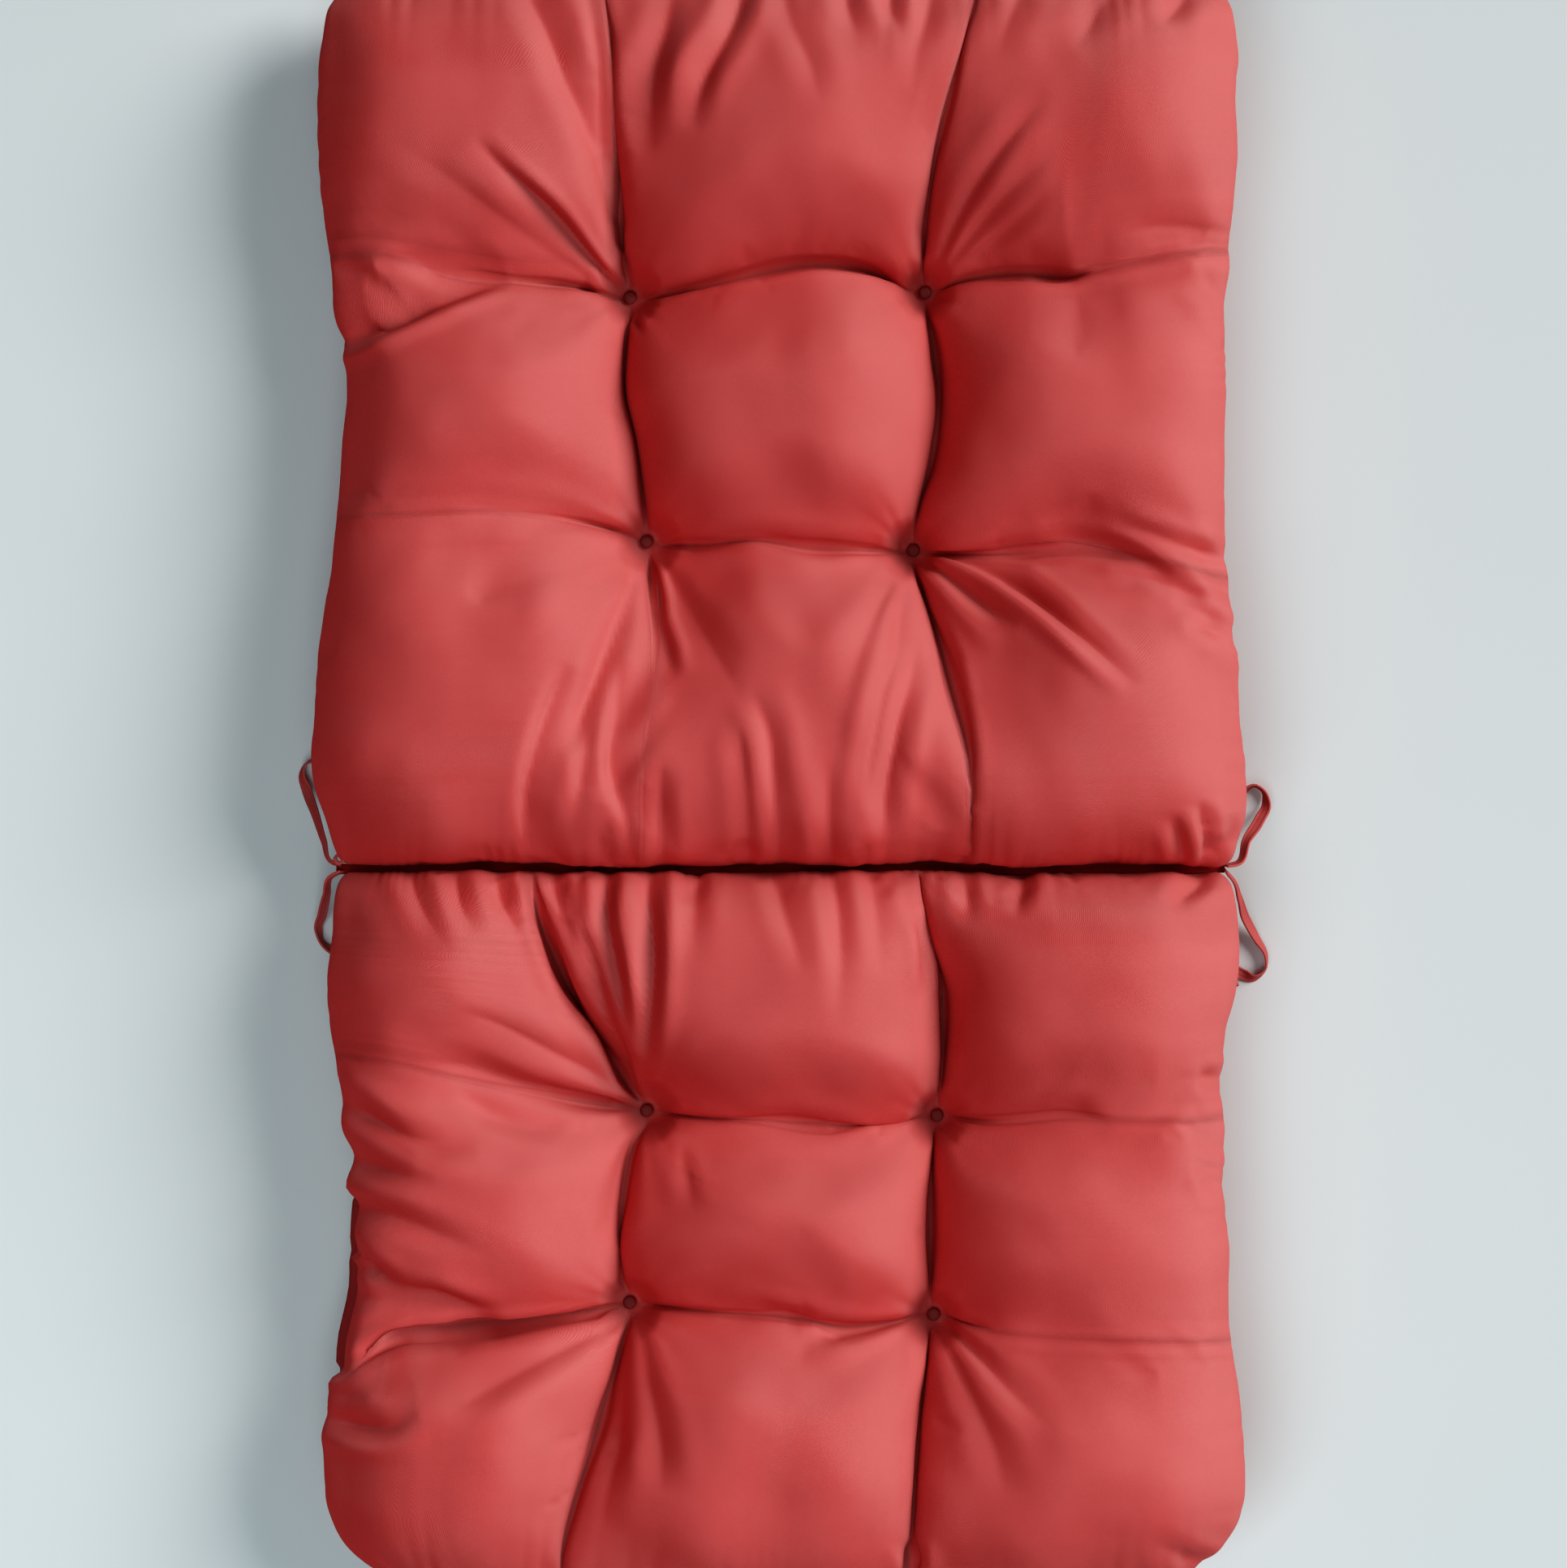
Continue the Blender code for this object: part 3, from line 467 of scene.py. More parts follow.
SEAT_FOLDS = [
    Fold("left column lip", (5, 5), (.2, .6), [(-146, -5, 3), (-138, -33, 5), (-125, -67, 6),
         (-108, -95, 6), (-94, -119, 4), (-84, -136, 1)]),
    Fold("pleat beside column", (5, 5), (.5, .5), [(-134, -4, 6), (-130, -19, 5), (-124, -38, 3),
         (-119, -52, 0)]),
    Fold("middle fold one", (5, 6), (.6, .5), [(-102, -4, 5), (-103, -24, 8), (-100, -48, 9), (-94, -71, 7),
         (-89, -91, 3), (-87, -105, 0)]),
    Fold("middle fold two", (5, 6), (.5, .5), [(-119, -5, 2), (-116, -29, 5), (-111, -52, 7),
         (-103, -81, 8), (-95, -105, 5), (-89, -121, 0)]),
    Fold("straight pleat", (6, 4), (.5, .3), [(-78, -7, 4), (-77, -29, 8), (-77, -62, 8), (-78, -90, 5),
         (-79, -114, 0)]),
    Fold("under button five", (6, 6), (.3, .3), [(-59, -159, 0), (-56, -176, 1.6), (-52, -200, 0)]),
    Fold("top pleat one", (6, 6), (.3, .3), [(-50, -4, 3), (-50, -21, 2.5), (-50, -43, 1), (-49, -57, 0)]),
    Fold("top pleat two", (7, 6), (.3, .3), [(-3, -4, 3), (2, -24, 2.5), (10, -48, 1.5), (13, -62, 0)]),
    Fold("top pleat three", (7, 6), (.3, .3), [(31, -4, 3), (34, -24, 4), (35, -52, 3), (34, -76, 1),
         (34, -90, 0)]),
    Fold("top pleat four", (6, 6), (.3, .3), [(52, -4, 3), (55, -21, 2.5), (57, -43, 1.5), (58, -62, 0)]),
    Fold("beside right column", (4, 4), (.4, .4), [(80, -24, 0), (84, -38, 5), (87, -60, 4), (88, -74, 0)]),
    Fold("top pleat five", (5, 5), (.4, .4), [(143, -4, 4), (140, -14, 3), (137, -29, 0)]),
    Fold("top pleat six", (5, 5), (.4, .4), [(108, -4, 4), (109, -17, 3), (111, -33, 0)]),
    Fold("left pleat one", (6, 6), (.4, .4), [(-191, -4, 3), (-186, -21, 3), (-177, -38, 0)]),
    Fold("left pleat two", (6, 6), (.4, .4), [(-218, -4, 3), (-210, -20, 3), (-198, -38, 1),
         (-191, -48, 0)]),
    Fold("left pleat three", (6, 6), (.4, .4), [(-168, -4, 3), (-162, -19, 4), (-153, -38, 1),
         (-149, -52, 0)]),
    Fold("right corner pleat", (6, 6), (.5, .5), [(247, -5, 6), (237, -14, 4), (228, -26, 0)]),
    Fold("left side one", (7, 7), (.3, .4), [(-191, -80, 0), (-163, -91, 3), (-134, -106, 4),
         (-110, -120, 2), (-96, -131, 0)]),
    Fold("left side two", (7, 7), (.3, .5), [(-210, -109, 0), (-182, -115, 3), (-149, -126, 5),
         (-118, -134, 5), (-87, -141, 2)]),
    Fold("left side three", (6, 6), (.3, .4), [(-191, -128, 0), (-168, -141, 4), (-141, -149, 3),
         (-125, -150, 0)]),
    Fold("left ripple one", (7, 7), (.5, .4), [(-259, -134, 5), (-244, -144, 8), (-225, -153, 7),
         (-201, -159, 4), (-177, -161, 0)]),
    Fold("left ripple two", (7, 7), (.5, .4), [(-256, -162, 4), (-241, -171, 5), (-220, -176, 3),
         (-201, -177, 0)]),
    Fold("left ripple three", (7, 7), (.5, .4), [(-254, -194, 4), (-234, -199, 5), (-206, -208, 4),
         (-177, -219, 1), (-163, -226, 0)]),
    Fold("left ripple four", (6, 6), (.5, .4), [(-256, -226, 6), (-241, -234, 8), (-225, -242, 6),
         (-201, -248, 7), (-179, -257, 4), (-163, -261, 0)]),
    Fold("left ripple five", (6, 6), (.5, .4), [(-248, -248, 4), (-229, -251, 5), (-206, -255, 4),
         (-182, -262, 0)]),
    Fold("left row crease", (3, 6), (.5, .1), [(-246, -281, 4), (-229, -272, 7), (-201, -268, 8),
         (-168, -266, 8), (-129, -261, 6), (-96, -258, 2)]),
    Fold("left wedge one", (7, 6), (.4, .5), [(-267, -318, 7), (-248, -322, 8), (-229, -321, 5),
         (-210, -312, 0)]),
    Fold("left wedge two", (6, 6), (.4, .4), [(-267, -306, 5), (-253, -306, 4), (-239, -308, 0)]),
    Fold("left faint", (9, 9), (.3, .4), [(-91, -264, 1), (-125, -276, 3), (-163, -295, 3),
         (-196, -314, 0)]),
    Fold("between rows one", (8, 8), (.3, .3), [(-82, -150, 1), (-91, -171, 3), (-97, -200, 3),
         (-97, -224, 0)]),
    Fold("middle row crease", (6, 6), (.3, .5), [(13, -268, 0), (28, -269, 4), (47, -268, 4), (70, -265, 2),
         (85, -263, 0)]),
    Fold("middle row crease left", (6, 6), (.4, .3), [(-39, -259, 0), (-10, -258, 3), (11, -263, 3),
         (20, -266, 0)]),
    Fold("upper row crease", (6, 6), (.3, .4), [(-30, -146, 0), (-1, -148, 3), (28, -150, 3),
         (51, -151, 0)]),
    Fold("right row crease", (7, 7), (.3, .3), [(109, -148, 1), (142, -145, 3), (175, -142, 3),
         (194, -148, 0)]),
    Fold("lower right fan one", (7, 7), (.4, .3), [(98, -268, 2), (116, -283, 4), (135, -301, 3),
         (161, -324, 0)]),
    Fold("lower right fan two", (8, 8), (.4, .3), [(95, -272, 1), (109, -300, 3), (123, -333, 2),
         (130, -362, 0)]),
    Fold("lower left fan", (8, 8), (.4, .3), [(-82, -271, 1), (-77, -300, 3), (-71, -333, 3),
         (-68, -362, 0)]),
    Fold("lower column side", (8, 7), (.4, .2), [(-91, -276, 1), (-95, -309, 3), (-100, -347, 3),
         (-106, -386, 0)]),
    Fold("foot pleat", (5, 5), (.5, .5), [(74, -417, 4), (78, -404, 6), (76, -390, 0)]),
    Fold("foot right pleat", (6, 6), (.4, .4), [(246, -407, 5), (228, -395, 2), (213, -386, 0)]),
    Fold("right ripple one", (5, 5), (.5, .4), [(242, -118, 0), (250, -121, 5), (263, -122, 5)]),
    Fold("right ripple two", (5, 5), (.5, .4), [(246, -127, 0), (254, -130, 5), (263, -133, 4)]),
    Fold("right ripple three", (5, 5), (.5, .4), [(242, -158, 0), (251, -162, 4), (263, -164, 5)]),
    Fold("right ripple four", (5, 5), (.5, .4), [(239, -169, 0), (250, -173, 5), (263, -176, 5)]),
    Fold("right ripple five", (5, 5), (.4, .4), [(242, -182, 0), (251, -183, 4), (263, -187, 4)]),
]

print("folds:", len(BACK_FOLDS), "on the back and", len(SEAT_FOLDS), "on the seat")

# %% [markdown]
# A pocket is a grid of points. Its lines run along the tuft columns and rows, so that a slit always
# falls on a line of points and stays crisp. They lie close together at the slits and at the seams,
# where the cloth turns fast, and further apart on the open puffs.

# %% Pockets and their grid lines
SPACING = 2.1
CHANNEL_OFFSETS = (0.9, 2.1, 3.8)
SIDE_RIM = 82.0
HINGE_RIM = 62.0
FIRST_TURN = 0.045
SOLVE_ROUNDS = 5
HALF_HINGE = 2.3

Pocket = namedtuple("Pocket", "name sign length channels folds seed")
POCKETS = [
    Pocket("back", 1, BACK_LENGTH, BACK_CHANNELS, BACK_FOLDS, 11),
    Pocket("seat", -1, SEAT_LENGTH, SEAT_CHANNELS, SEAT_FOLDS, 23),
]


def follow(channel, at, axis):
    """The channel's place across (axis 0) or along (axis 1) the cushion, where it passes `at`."""
    points = sorted(channel.points, key=lambda point: point[1 - axis])
    return smooth_curve([p[1 - axis] for p in points], [p[axis] for p in points], at)


def edge_offsets(rim):
    """Distances in from a seam that follow a round rim in even steps, up to the plain spacing."""
    offsets = [0.0]
    while len(offsets) < 2 or offsets[-1] - offsets[-2] < SPACING:
        offsets.append(rim * (1 - math.cos(FIRST_TURN * len(offsets))))
    return np.array(offsets)


def shared_lines(places):
    """Line numbers that share out the space between fixed places, with an even count of cells."""
    gaps = np.abs(np.diff(places))
    cells = np.maximum(1, np.rint(gaps / SPACING).astype(int))
    if cells.sum() % 2:
        cells[gaps.argmax()] += 1
    lines = [number + np.arange(count) / count for number, count in enumerate(cells)]
    return np.concatenate([*lines, [len(cells)]])


def hinge_way(across):
    """How far the hinge seam wanders from its straight line."""
    return 0.8 * np.sin(across / 37) + 0.4 * np.sin(across / 15 + 1.3)


def hinge_rim(pocket, across):
    """Where the pocket's rim lies along the cushion, beside the hinge seam."""
    uneven = 0.55 * np.sin(across / 7.3 + pocket.sign) * np.sin(across / 31 + 0.4)
    return hinge_way(across) + pocket.sign * (HALF_HINGE + uneven)


def places_across(pocket, along):
    left, right = side_edges(along)
    offsets = edge_offsets(SIDE_RIM)
    found = [left + step for step in offsets]
    for channel in pocket.channels[:2]:
        middle = follow(channel, along, 0)
        found += [middle - step for step in CHANNEL_OFFSETS[::-1]]
        found += [middle] + [middle + step for step in CHANNEL_OFFSETS]
    return np.array(found + [right - step for step in offsets[::-1]])


def places_along(pocket, across):
    end = [pocket.sign * (pocket.length - step) + 0 * across for step in edge_offsets(SIDE_RIM)]
    hinge = [hinge_rim(pocket, across) + pocket.sign * step for step in edge_offsets(HINGE_RIM)]
    rows = []
    for channel in pocket.channels[2:]:
        middle = follow(channel, across, 1)
        rows += [middle + step for step in CHANNEL_OFFSETS[::-1]]
        rows += [middle] + [middle - step for step in CHANNEL_OFFSETS]
    return np.array(end + rows + hinge[::-1] if pocket.sign > 0 else hinge + rows + end[::-1])


def read_places(places, line):
    low = np.clip(np.floor(line).astype(int), 0, len(places) - 2)
    part = line - low
    points = np.arange(len(line))
    return places[low, points] * (1 - part) + places[low + 1, points] * part


def pocket_grid(pocket):
    """Where every grid point lies across and along, as two tables of columns by rows."""
    middle = np.array([pocket.sign * pocket.length / 2])
    columns = shared_lines(places_across(pocket, middle)[:, 0])
    rows = shared_lines(places_along(pocket, np.zeros(1))[:, 0])
    column, row = (table.ravel() for table in np.meshgrid(columns, rows, indexing="ij"))
    along = np.full(len(row), middle[0])
    for _ in range(SOLVE_ROUNDS):
        across = read_places(places_across(pocket, along), column)
        along = read_places(places_along(pocket, across), row)
    shape = (len(columns), len(rows))
    return across.reshape(shape), along.reshape(shape)


def grid_quads(index):
    """The corners of every cell of a grid, in the order that makes its faces look upwards."""
    return np.stack([index[:-1, :-1], index[:-1, 1:], index[1:, 1:], index[1:, :-1]],
                    axis=-1).reshape(-1, 4)


def side_distances(across, along):
    """How far each point lies from the left side and from the right side."""
    left, right = side_edges(along)
    return across - left, right - across


for pocket in POCKETS:
    print(pocket.name, "pocket's face has", pocket_grid(pocket)[0].shape, "columns and rows")

# %% [markdown]
# How deep a channel or a fold is at a point depends on how far the point lies from its line. Lines
# are sampled every two millimetres, and the nearest sample is then corrected to the nearest place on
# the line, because a slit would look beaded otherwise.

# %% Distance from a line
CHUNK = 4000


def near_line(line, across, along):
    """Distance from the line, the side (1 is on its left), and the line's values there."""
    places = line[:, :2]
    nearest = np.empty(len(across), int)
    for start in range(0, len(across), CHUNK):
        part = slice(start, start + CHUNK)
        gaps = (across[part, None] - places[:, 0])**2 + (along[part, None] - places[:, 1])**2
        nearest[part] = gaps.argmin(axis=1)
    best = np.full(len(across), np.inf)
    side = np.zeros(len(across))
    values = np.zeros((len(across), line.shape[1]))
    for shift in (-1, 0):
        first = np.clip(nearest + shift, 0, len(line) - 2)
        step = places[first + 1] - places[first]
        away = np.stack([across, along], axis=1) - places[first]
        part = np.clip((away * step).sum(axis=1) / (step**2).sum(axis=1), 0, 1)[:, None]
        gap = np.linalg.norm(away - part * step, axis=1)
        closer = gap < best
        best[closer] = gap[closer]
        turn = step[:, 0] * away[:, 1] - step[:, 1] * away[:, 0]
        side[closer] = np.sign(turn)[closer]
        values[closer] = (line[first] * (1 - part) + line[first + 1] * part)[closer]
    return best, side, values


def close_to(line, reach, across, along):
    """Which points are inside the line's box, widened by reach."""
    low, high = line[:, :2].min(axis=0) - reach, line[:, :2].max(axis=0) + reach
    return (across > low[0]) & (across < high[0]) & (along > low[1]) & (along < high[1])


test_line = smooth_path([(0, 0, 0), (40, 0, 0)], lengthwise=2)
print("distance and side of a point 5 mm beside a line:",
      [float(found[0]) for found in near_line(test_line, np.array([21.0]), np.array([5.0]))[:2]])


# %% [markdown]
# The face starts as a plain crown, higher where the filling is packed tight. The channels cut into
# it. Where two cross they add up softly, but never go deeper than the tufts hold them. At its
# rims the crown falls to the seam in a full round, which also bulges a little past the seam.

# %% The face's main form
RIM_ROUNDNESS = 2.2
CLEFT_WIDTH = 1.3
CLEFT_SHARE = 0.10
CROSSING_POWER = 2.2
DEEPEST_SHARE = 0.76
GENTLE_SIDE = 1.2
LIMIT_POWER = 6
Swell = namedtuple("Swell", "across along radius height")
SWELLS = [
    Swell(-190, 455, 95, -5), Swell(5, 430, 80, 5), Swell(190, 430, 95, 3),
    Swell(-185, 265, 90, 3), Swell(0, 265, 75, -4), Swell(190, 270, 90, -3),
    Swell(-190, 90, 90, 6), Swell(0, 100, 85, 3), Swell(190, 70, 90, 7),
    Swell(-215, -60, 70, 5), Swell(0, -70, 80, 3), Swell(190, -70, 85, 4),
    Swell(-180, -205, 75, -3), Swell(0, -205, 70, -5), Swell(190, -205, 80, -4),
    Swell(-200, -345, 80, 2), Swell(-20, -345, 80, 4), Swell(190, -345, 90, 5),
]


def rise(distance, radius):
    """The round of a filled rim, from 0 at the seam to 1 where it meets the crown."""
    outside = 1 - np.clip(distance / radius, 0, 1)
    return (1 - outside**RIM_ROUNDNESS)**(1 / RIM_ROUNDNESS)


def channel_line(channel, axis):
    points = sorted(channel.points, key=lambda point: point[1 - axis])
    knots = [point[1 - axis] for point in points]
    at = np.linspace(knots[0], knots[-1], round((knots[-1] - knots[0]) / PATH_STEP) + 1)
    return np.stack([smooth_curve(knots, column, at) for column in zip(*points)], axis=1)


def channel_share(channel, axis, across, along):
    """The channel's depth at each point, as a share of the crown."""
    line = channel_line(channel, axis)
    share = np.zeros_like(across)
    near = close_to(line, channel.reach * GENTLE_SIDE, across, along)
    gap, side, values = near_line(line, across[near], along[near])
    gap = np.where((side < 0) & (axis == 0), gap / GENTLE_SIDE, gap)
    inside = 1 - np.clip(gap / channel.reach, 0, 1)
    soft = (1 - (1 - inside)**2)**3
    slit = 1 - np.sqrt(1 - inside**2)
    sharp = np.clip(values[:, 3], 0, 1)
    share[near] = values[:, 2] * (soft * (1 - sharp) + slit * sharp)
    share[near] += CLEFT_SHARE * sharp * np.exp(-(gap / CLEFT_WIDTH)**2)
    return share


def crown(pocket, across, along):
    shares = [channel_share(channel, axis, across, along)**CROSSING_POWER
              for channel, axis in zip(pocket.channels, (0, 0, 1, 1))]
    together = np.sum(shares, axis=0)**(1 / CROSSING_POWER)
    deepest = together / (1 + (together / DEEPEST_SHARE)**LIMIT_POWER)**(1 / LIMIT_POWER)
    height = np.full_like(across, CROWN_HEIGHT)
    for swell in SWELLS:
        away = np.hypot(across - swell.across, along - swell.along) / swell.radius
        height += swell.height * np.exp(-away**2)
    return height * (1 - deepest)


for pocket in POCKETS:
    print("crown in the middle of the", pocket.name, "pocket:",
          crown(pocket, np.zeros(1), np.array([pocket.sign * pocket.length / 2])).round(1), "mm")


# %% [markdown]
# Each button sits on a small flat pad of cloth, pulled down to where the plain model has it. The
# cloth climbs steeply from the pad's edge, which is what draws the dark ring round a tuft.

# %% Tuft pads
PAD_RADIUS = 4.4
PAD_CLIMB = 15.0
FIT_GAP = 0.3
BUTTON_NAMES = [f"button_{pocket}_{row}_{side}" for pocket in ("back", "seat")
                for row in ("upper", "lower") for side in ("left", "right")]


def button_place(name):
    """The middle of a button across and along, and the height of its underside."""
    low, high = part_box(name)
    middle = (np.array(low) + np.array(high)) / 2 / METRES
    return middle[0], middle[1] - HINGE_FROM_MIDDLE, low[2] / METRES


BUTTONS = {name: button_place(name) for name in BUTTON_NAMES}


def button_distances(across, along):
    """Each point's distance from the middle of every button in turn."""
    return [np.hypot(across - place[0], along - place[1]) for place in BUTTONS.values()]


def pull_to_pads(across, along, height):
    """The face's height with the tufts pulled down, and how free of a tuft each point is."""
    free = np.ones_like(height)
    for away, place in zip(button_distances(across, along), BUTTONS.values()):
        loose = soft_step((away - PAD_RADIUS) / PAD_CLIMB)
        height = height * loose + (place[2] - FIT_GAP) * (1 - loose)
        free *= loose
    return height, free


print("tuft pads at heights", [round(place[2]) for place in BUTTONS.values()], "mm")

# %% [markdown]
# Small wrinkles aren't picked one by one. Cloth gathered on a seam stands in ridges at right angles
# to it, round on top and sharp between, and fades within a few centimetres. Round a button the same
# gathers run out like a star. Long low waves keep the puffs from looking machined. Every random
# choice comes from a numbered seed, so each run gives the same cushion.

# %% Gathers and waves
TIGHTEST = 0.42
FOLD_REACH = 4.5
FOLD_POWER = 1.3
LIP_PLACE = 2
LIP_WIDTH = 1.1


def waves(seed, across, along, shortest, longest, count=22):
    """A field of crossing waves with these lengths, mostly between -1 and 1."""
    pick = np.random.default_rng(seed)
    total = np.zeros_like(across)
    for _ in range(count):
        length = math.exp(pick.uniform(math.log(shortest), math.log(longest)))
        heading, phase = pick.uniform(0, 2 * math.pi, 2)
        way = across * math.cos(heading) + along * math.sin(heading)
        total += np.sin(2 * math.pi * way / length + phase)
    return total / math.sqrt(count)


def gathers(seed, way, from_seam, pitch, height, fade):
    """Ridges across a seam: way counts along it, and from_seam is the distance from it."""
    wander = waves(seed, way, 0.25 * from_seam, 2.2 * pitch, 9 * pitch)
    strength = soft_step(0.55 + 0.5 * waves(seed + 1, way, 0 * way, 3 * pitch, 14 * pitch))
    ridge = np.abs(np.sin(math.pi * (way / pitch + 0.75 * wander))) - 0.64
    return height * strength * ridge * np.exp(-from_seam / fade)


def star(seed, across, along, place):
    """Puckers that run out from a button."""
    pick = np.random.default_rng(seed)
    rays = pick.integers(5, 8)
    phase, second = pick.uniform(0, math.pi, 2)
    away = np.hypot(across - place[0], along - place[1])
    round_it = np.arctan2(along - place[1], across - place[0])
    ridge = np.abs(np.sin(rays * round_it + phase + 0.8 * np.sin(2 * round_it + second))) - 0.64
    return 1.9 * ridge * np.exp(-away / 18) * soft_step(away / 9)


def draw_in(across, along):
    """How narrow a fold is at each point: full in the open, and tight where it nears a button."""
    nearest = np.min(button_distances(across, along), axis=0)
    return TIGHTEST + (1 - TIGHTEST) * soft_step((nearest - 8) / 62)


def fold_lift(fold, across, along):
    """How far a loose fold lifts or sinks each point."""
    line = smooth_path(fold.points, lengthwise=2)
    lift = np.zeros_like(across)
    near = close_to(line, FOLD_REACH * max(fold.width), across, along)
    gap, side, values = near_line(line, across[near], along[near])
    width = np.where(side > 0, fold.width[0], fold.width[1])
    lip = np.where(side > 0, fold.lip[0], fold.lip[1])
    spread = gap / (width * draw_in(values[:, 0], values[:, 1]))
    profile = lip * np.exp(-((spread - LIP_PLACE) / LIP_WIDTH)**2) - np.exp(-spread**FOLD_POWER)
    lift[near] = values[:, 2] * profile
    return lift


def small_forms(pocket, across, along, free):
    """Everything that stands on the main form, in millimetres along its surface's normal."""
    from_left, from_right = side_distances(across, along)
    from_end = np.abs(pocket.sign * pocket.length - along)
    from_hinge = np.abs(along)
    lift = sum(fold_lift(fold, across, along) for fold in pocket.folds)
    lift += 1.5 * waves(pocket.seed + 8, across, along, 60, 140)
    lift += 0.15 * waves(pocket.seed + 9, across, along, 22, 50)
    for number, place in enumerate(BUTTONS.values()):
        lift += star(pocket.seed + 30 + number, across, along, place)
    to_seam = np.min([from_left, from_right, from_end, from_hinge], axis=0)
    lift *= soft_step(0.28 + to_seam / 18)
    gathered = gathers(pocket.seed, across, from_hinge, 17.0, 1.0, 16)
    gathered += gathers(pocket.seed + 1, across, from_hinge, 7.5, 0.9, 9)
    gathered += gathers(pocket.seed + 2, across, from_end, 18.0, 1.5, 15)
    gathered += gathers(pocket.seed + 4, along, from_left, 23.0, 0.8, 13)
    gathered += gathers(pocket.seed + 6, along, from_right, 23.0, 0.8, 13)
    return (lift + gathered * soft_step(0.35 + to_seam / 6)) * free


fold_count = sum(len(pocket.folds) for pocket in POCKETS)
print("small forms:", fold_count, "folds,", len(BUTTONS), "stars, and gathers on three kinds of seam")


# %% [markdown]
# Filling presses the cloth outwards everywhere, but the stitches hold it, so the face ends up full
# between them and drawn tight towards each tuft. Blender's Cloth finds that balance: the plain face is
# copied with every second grid line, pinned at its rim, its slits and its tufts, cut a little larger
# and blown up with pressure. Its long waves are taken out of the result, so that each crown keeps its
# measured height, the rest is capped, and the creases are laid on top.

# %% Simulated filling
SIM_FRAMES = 20
SIM_PRESSURE = 4.0
SIM_GROWTH = 0.003
PINNED_WITHIN = 3.2
TUFT_HOLDS = 0.3
SLIT_HOLDS = 0.35
SWELL_BLUR = 8
MOST_SWELL = 2.5


def pinned(pocket, across, along, free):
    """Which points the stitches hold: the rim, the sharp slits and the tufts."""
    held = free < TUFT_HOLDS
    for channel, axis in zip(pocket.channels, (0, 0, 1, 1)):
        gap, _, values = near_line(channel_line(channel, axis), across.ravel(), along.ravel())
        held |= ((gap < PINNED_WITHIN) & (values[:, 3] > SLIT_HOLDS)).reshape(across.shape)
    held[[0, -1]] = True
    held[:, [0, -1]] = True
    return held


def blurred(table, reach):
    """The table averaged over its neighbours along both grid directions."""
    kernel = np.exp(-0.5 * (np.arange(-3 * reach, 3 * reach + 1) / reach)**2)
    kernel /= kernel.sum()
    for axis in (0, 1):
        wide = np.pad(table, [(3 * reach, 3 * reach) if a == axis else (0, 0) for a in range(table.ndim)],
                      mode="edge")
        table = sum(weight * np.take(wide, np.arange(table.shape[axis]) + shift, axis=axis)
                    for shift, weight in enumerate(kernel))
    return table


def between_lines(table, axis):
    """Adds the line halfway between every two, along one grid direction."""
    table = np.moveaxis(table, axis, 0)
    fine = np.empty((2 * len(table) - 1, *table.shape[1:]))
    fine[::2] = table
    fine[1::2] = (table[:-1] + table[1:]) / 2
    return np.moveaxis(fine, 0, axis)


def filled_out(pocket, points, held):
    """How far the filling pushes each point of the face, in millimetres."""
    coarse, held = points[::2, ::2], held[::2, ::2]
    index = np.arange(held.size).reshape(held.shape)
    mesh = bpy.data.meshes.new("trial_cloth")
    mesh.from_pydata((coarse.reshape(-1, 3) * METRES).tolist(), [], grid_quads(index).tolist())
    trial = bpy.data.objects.new("trial_cloth", mesh)
    bpy.context.scene.collection.objects.link(trial)
    trial.vertex_groups.new(name="held").add(index[held].tolist(), 1.0, "REPLACE")
    cloth = trial.modifiers.new("cloth", "CLOTH")
    cloth.settings.quality = 5
    cloth.settings.mass = 0.3
    cloth.settings.tension_stiffness = 40
    cloth.settings.compression_stiffness = 40
    cloth.settings.bending_stiffness = 4.0
    cloth.settings.use_pressure = True
    cloth.settings.uniform_pressure_force = SIM_PRESSURE
    cloth.settings.shrink_min = -SIM_GROWTH
    cloth.settings.vertex_group_mass = "held"
    cloth.settings.effector_weights.gravity = 0
    cloth.collision_settings.use_collision = False
    cloth.point_cache.frame_end = SIM_FRAMES
    for frame in range(1, SIM_FRAMES + 1):
        bpy.context.scene.frame_set(frame)
    found = trial.evaluated_get(bpy.context.evaluated_depsgraph_get()).data
    places = np.empty(3 * held.size)
    found.vertices.foreach_get("co", places)
    bpy.context.scene.frame_set(1)
    bpy.data.objects.remove(trial)
    moved = places.reshape(coarse.shape) / METRES - coarse
    print(pocket.name, "cloth moved by up to", round(float(np.linalg.norm(moved, axis=-1).max()), 1), "mm")
    moved -= blurred(moved, SWELL_BLUR)
    length = np.linalg.norm(moved, axis=-1, keepdims=True) + 1e-9
    moved *= np.minimum(1, MOST_SWELL / length)
    print("of which", round(float(length.max()), 1), "mm is its own form, before the cap")
    return between_lines(between_lines(moved, 0), 1)


# %% [markdown]
# Now the two panels are placed. The face is lifted along its own normals by the small forms. The
# under panel is plainer and half as dense, since it is only seen from the side and from below. It
# rounds down from the seam to the flat place where the cushion rests, with a dimple under each
# button. Each panel gets a UV map measured along the cloth, for the weave.

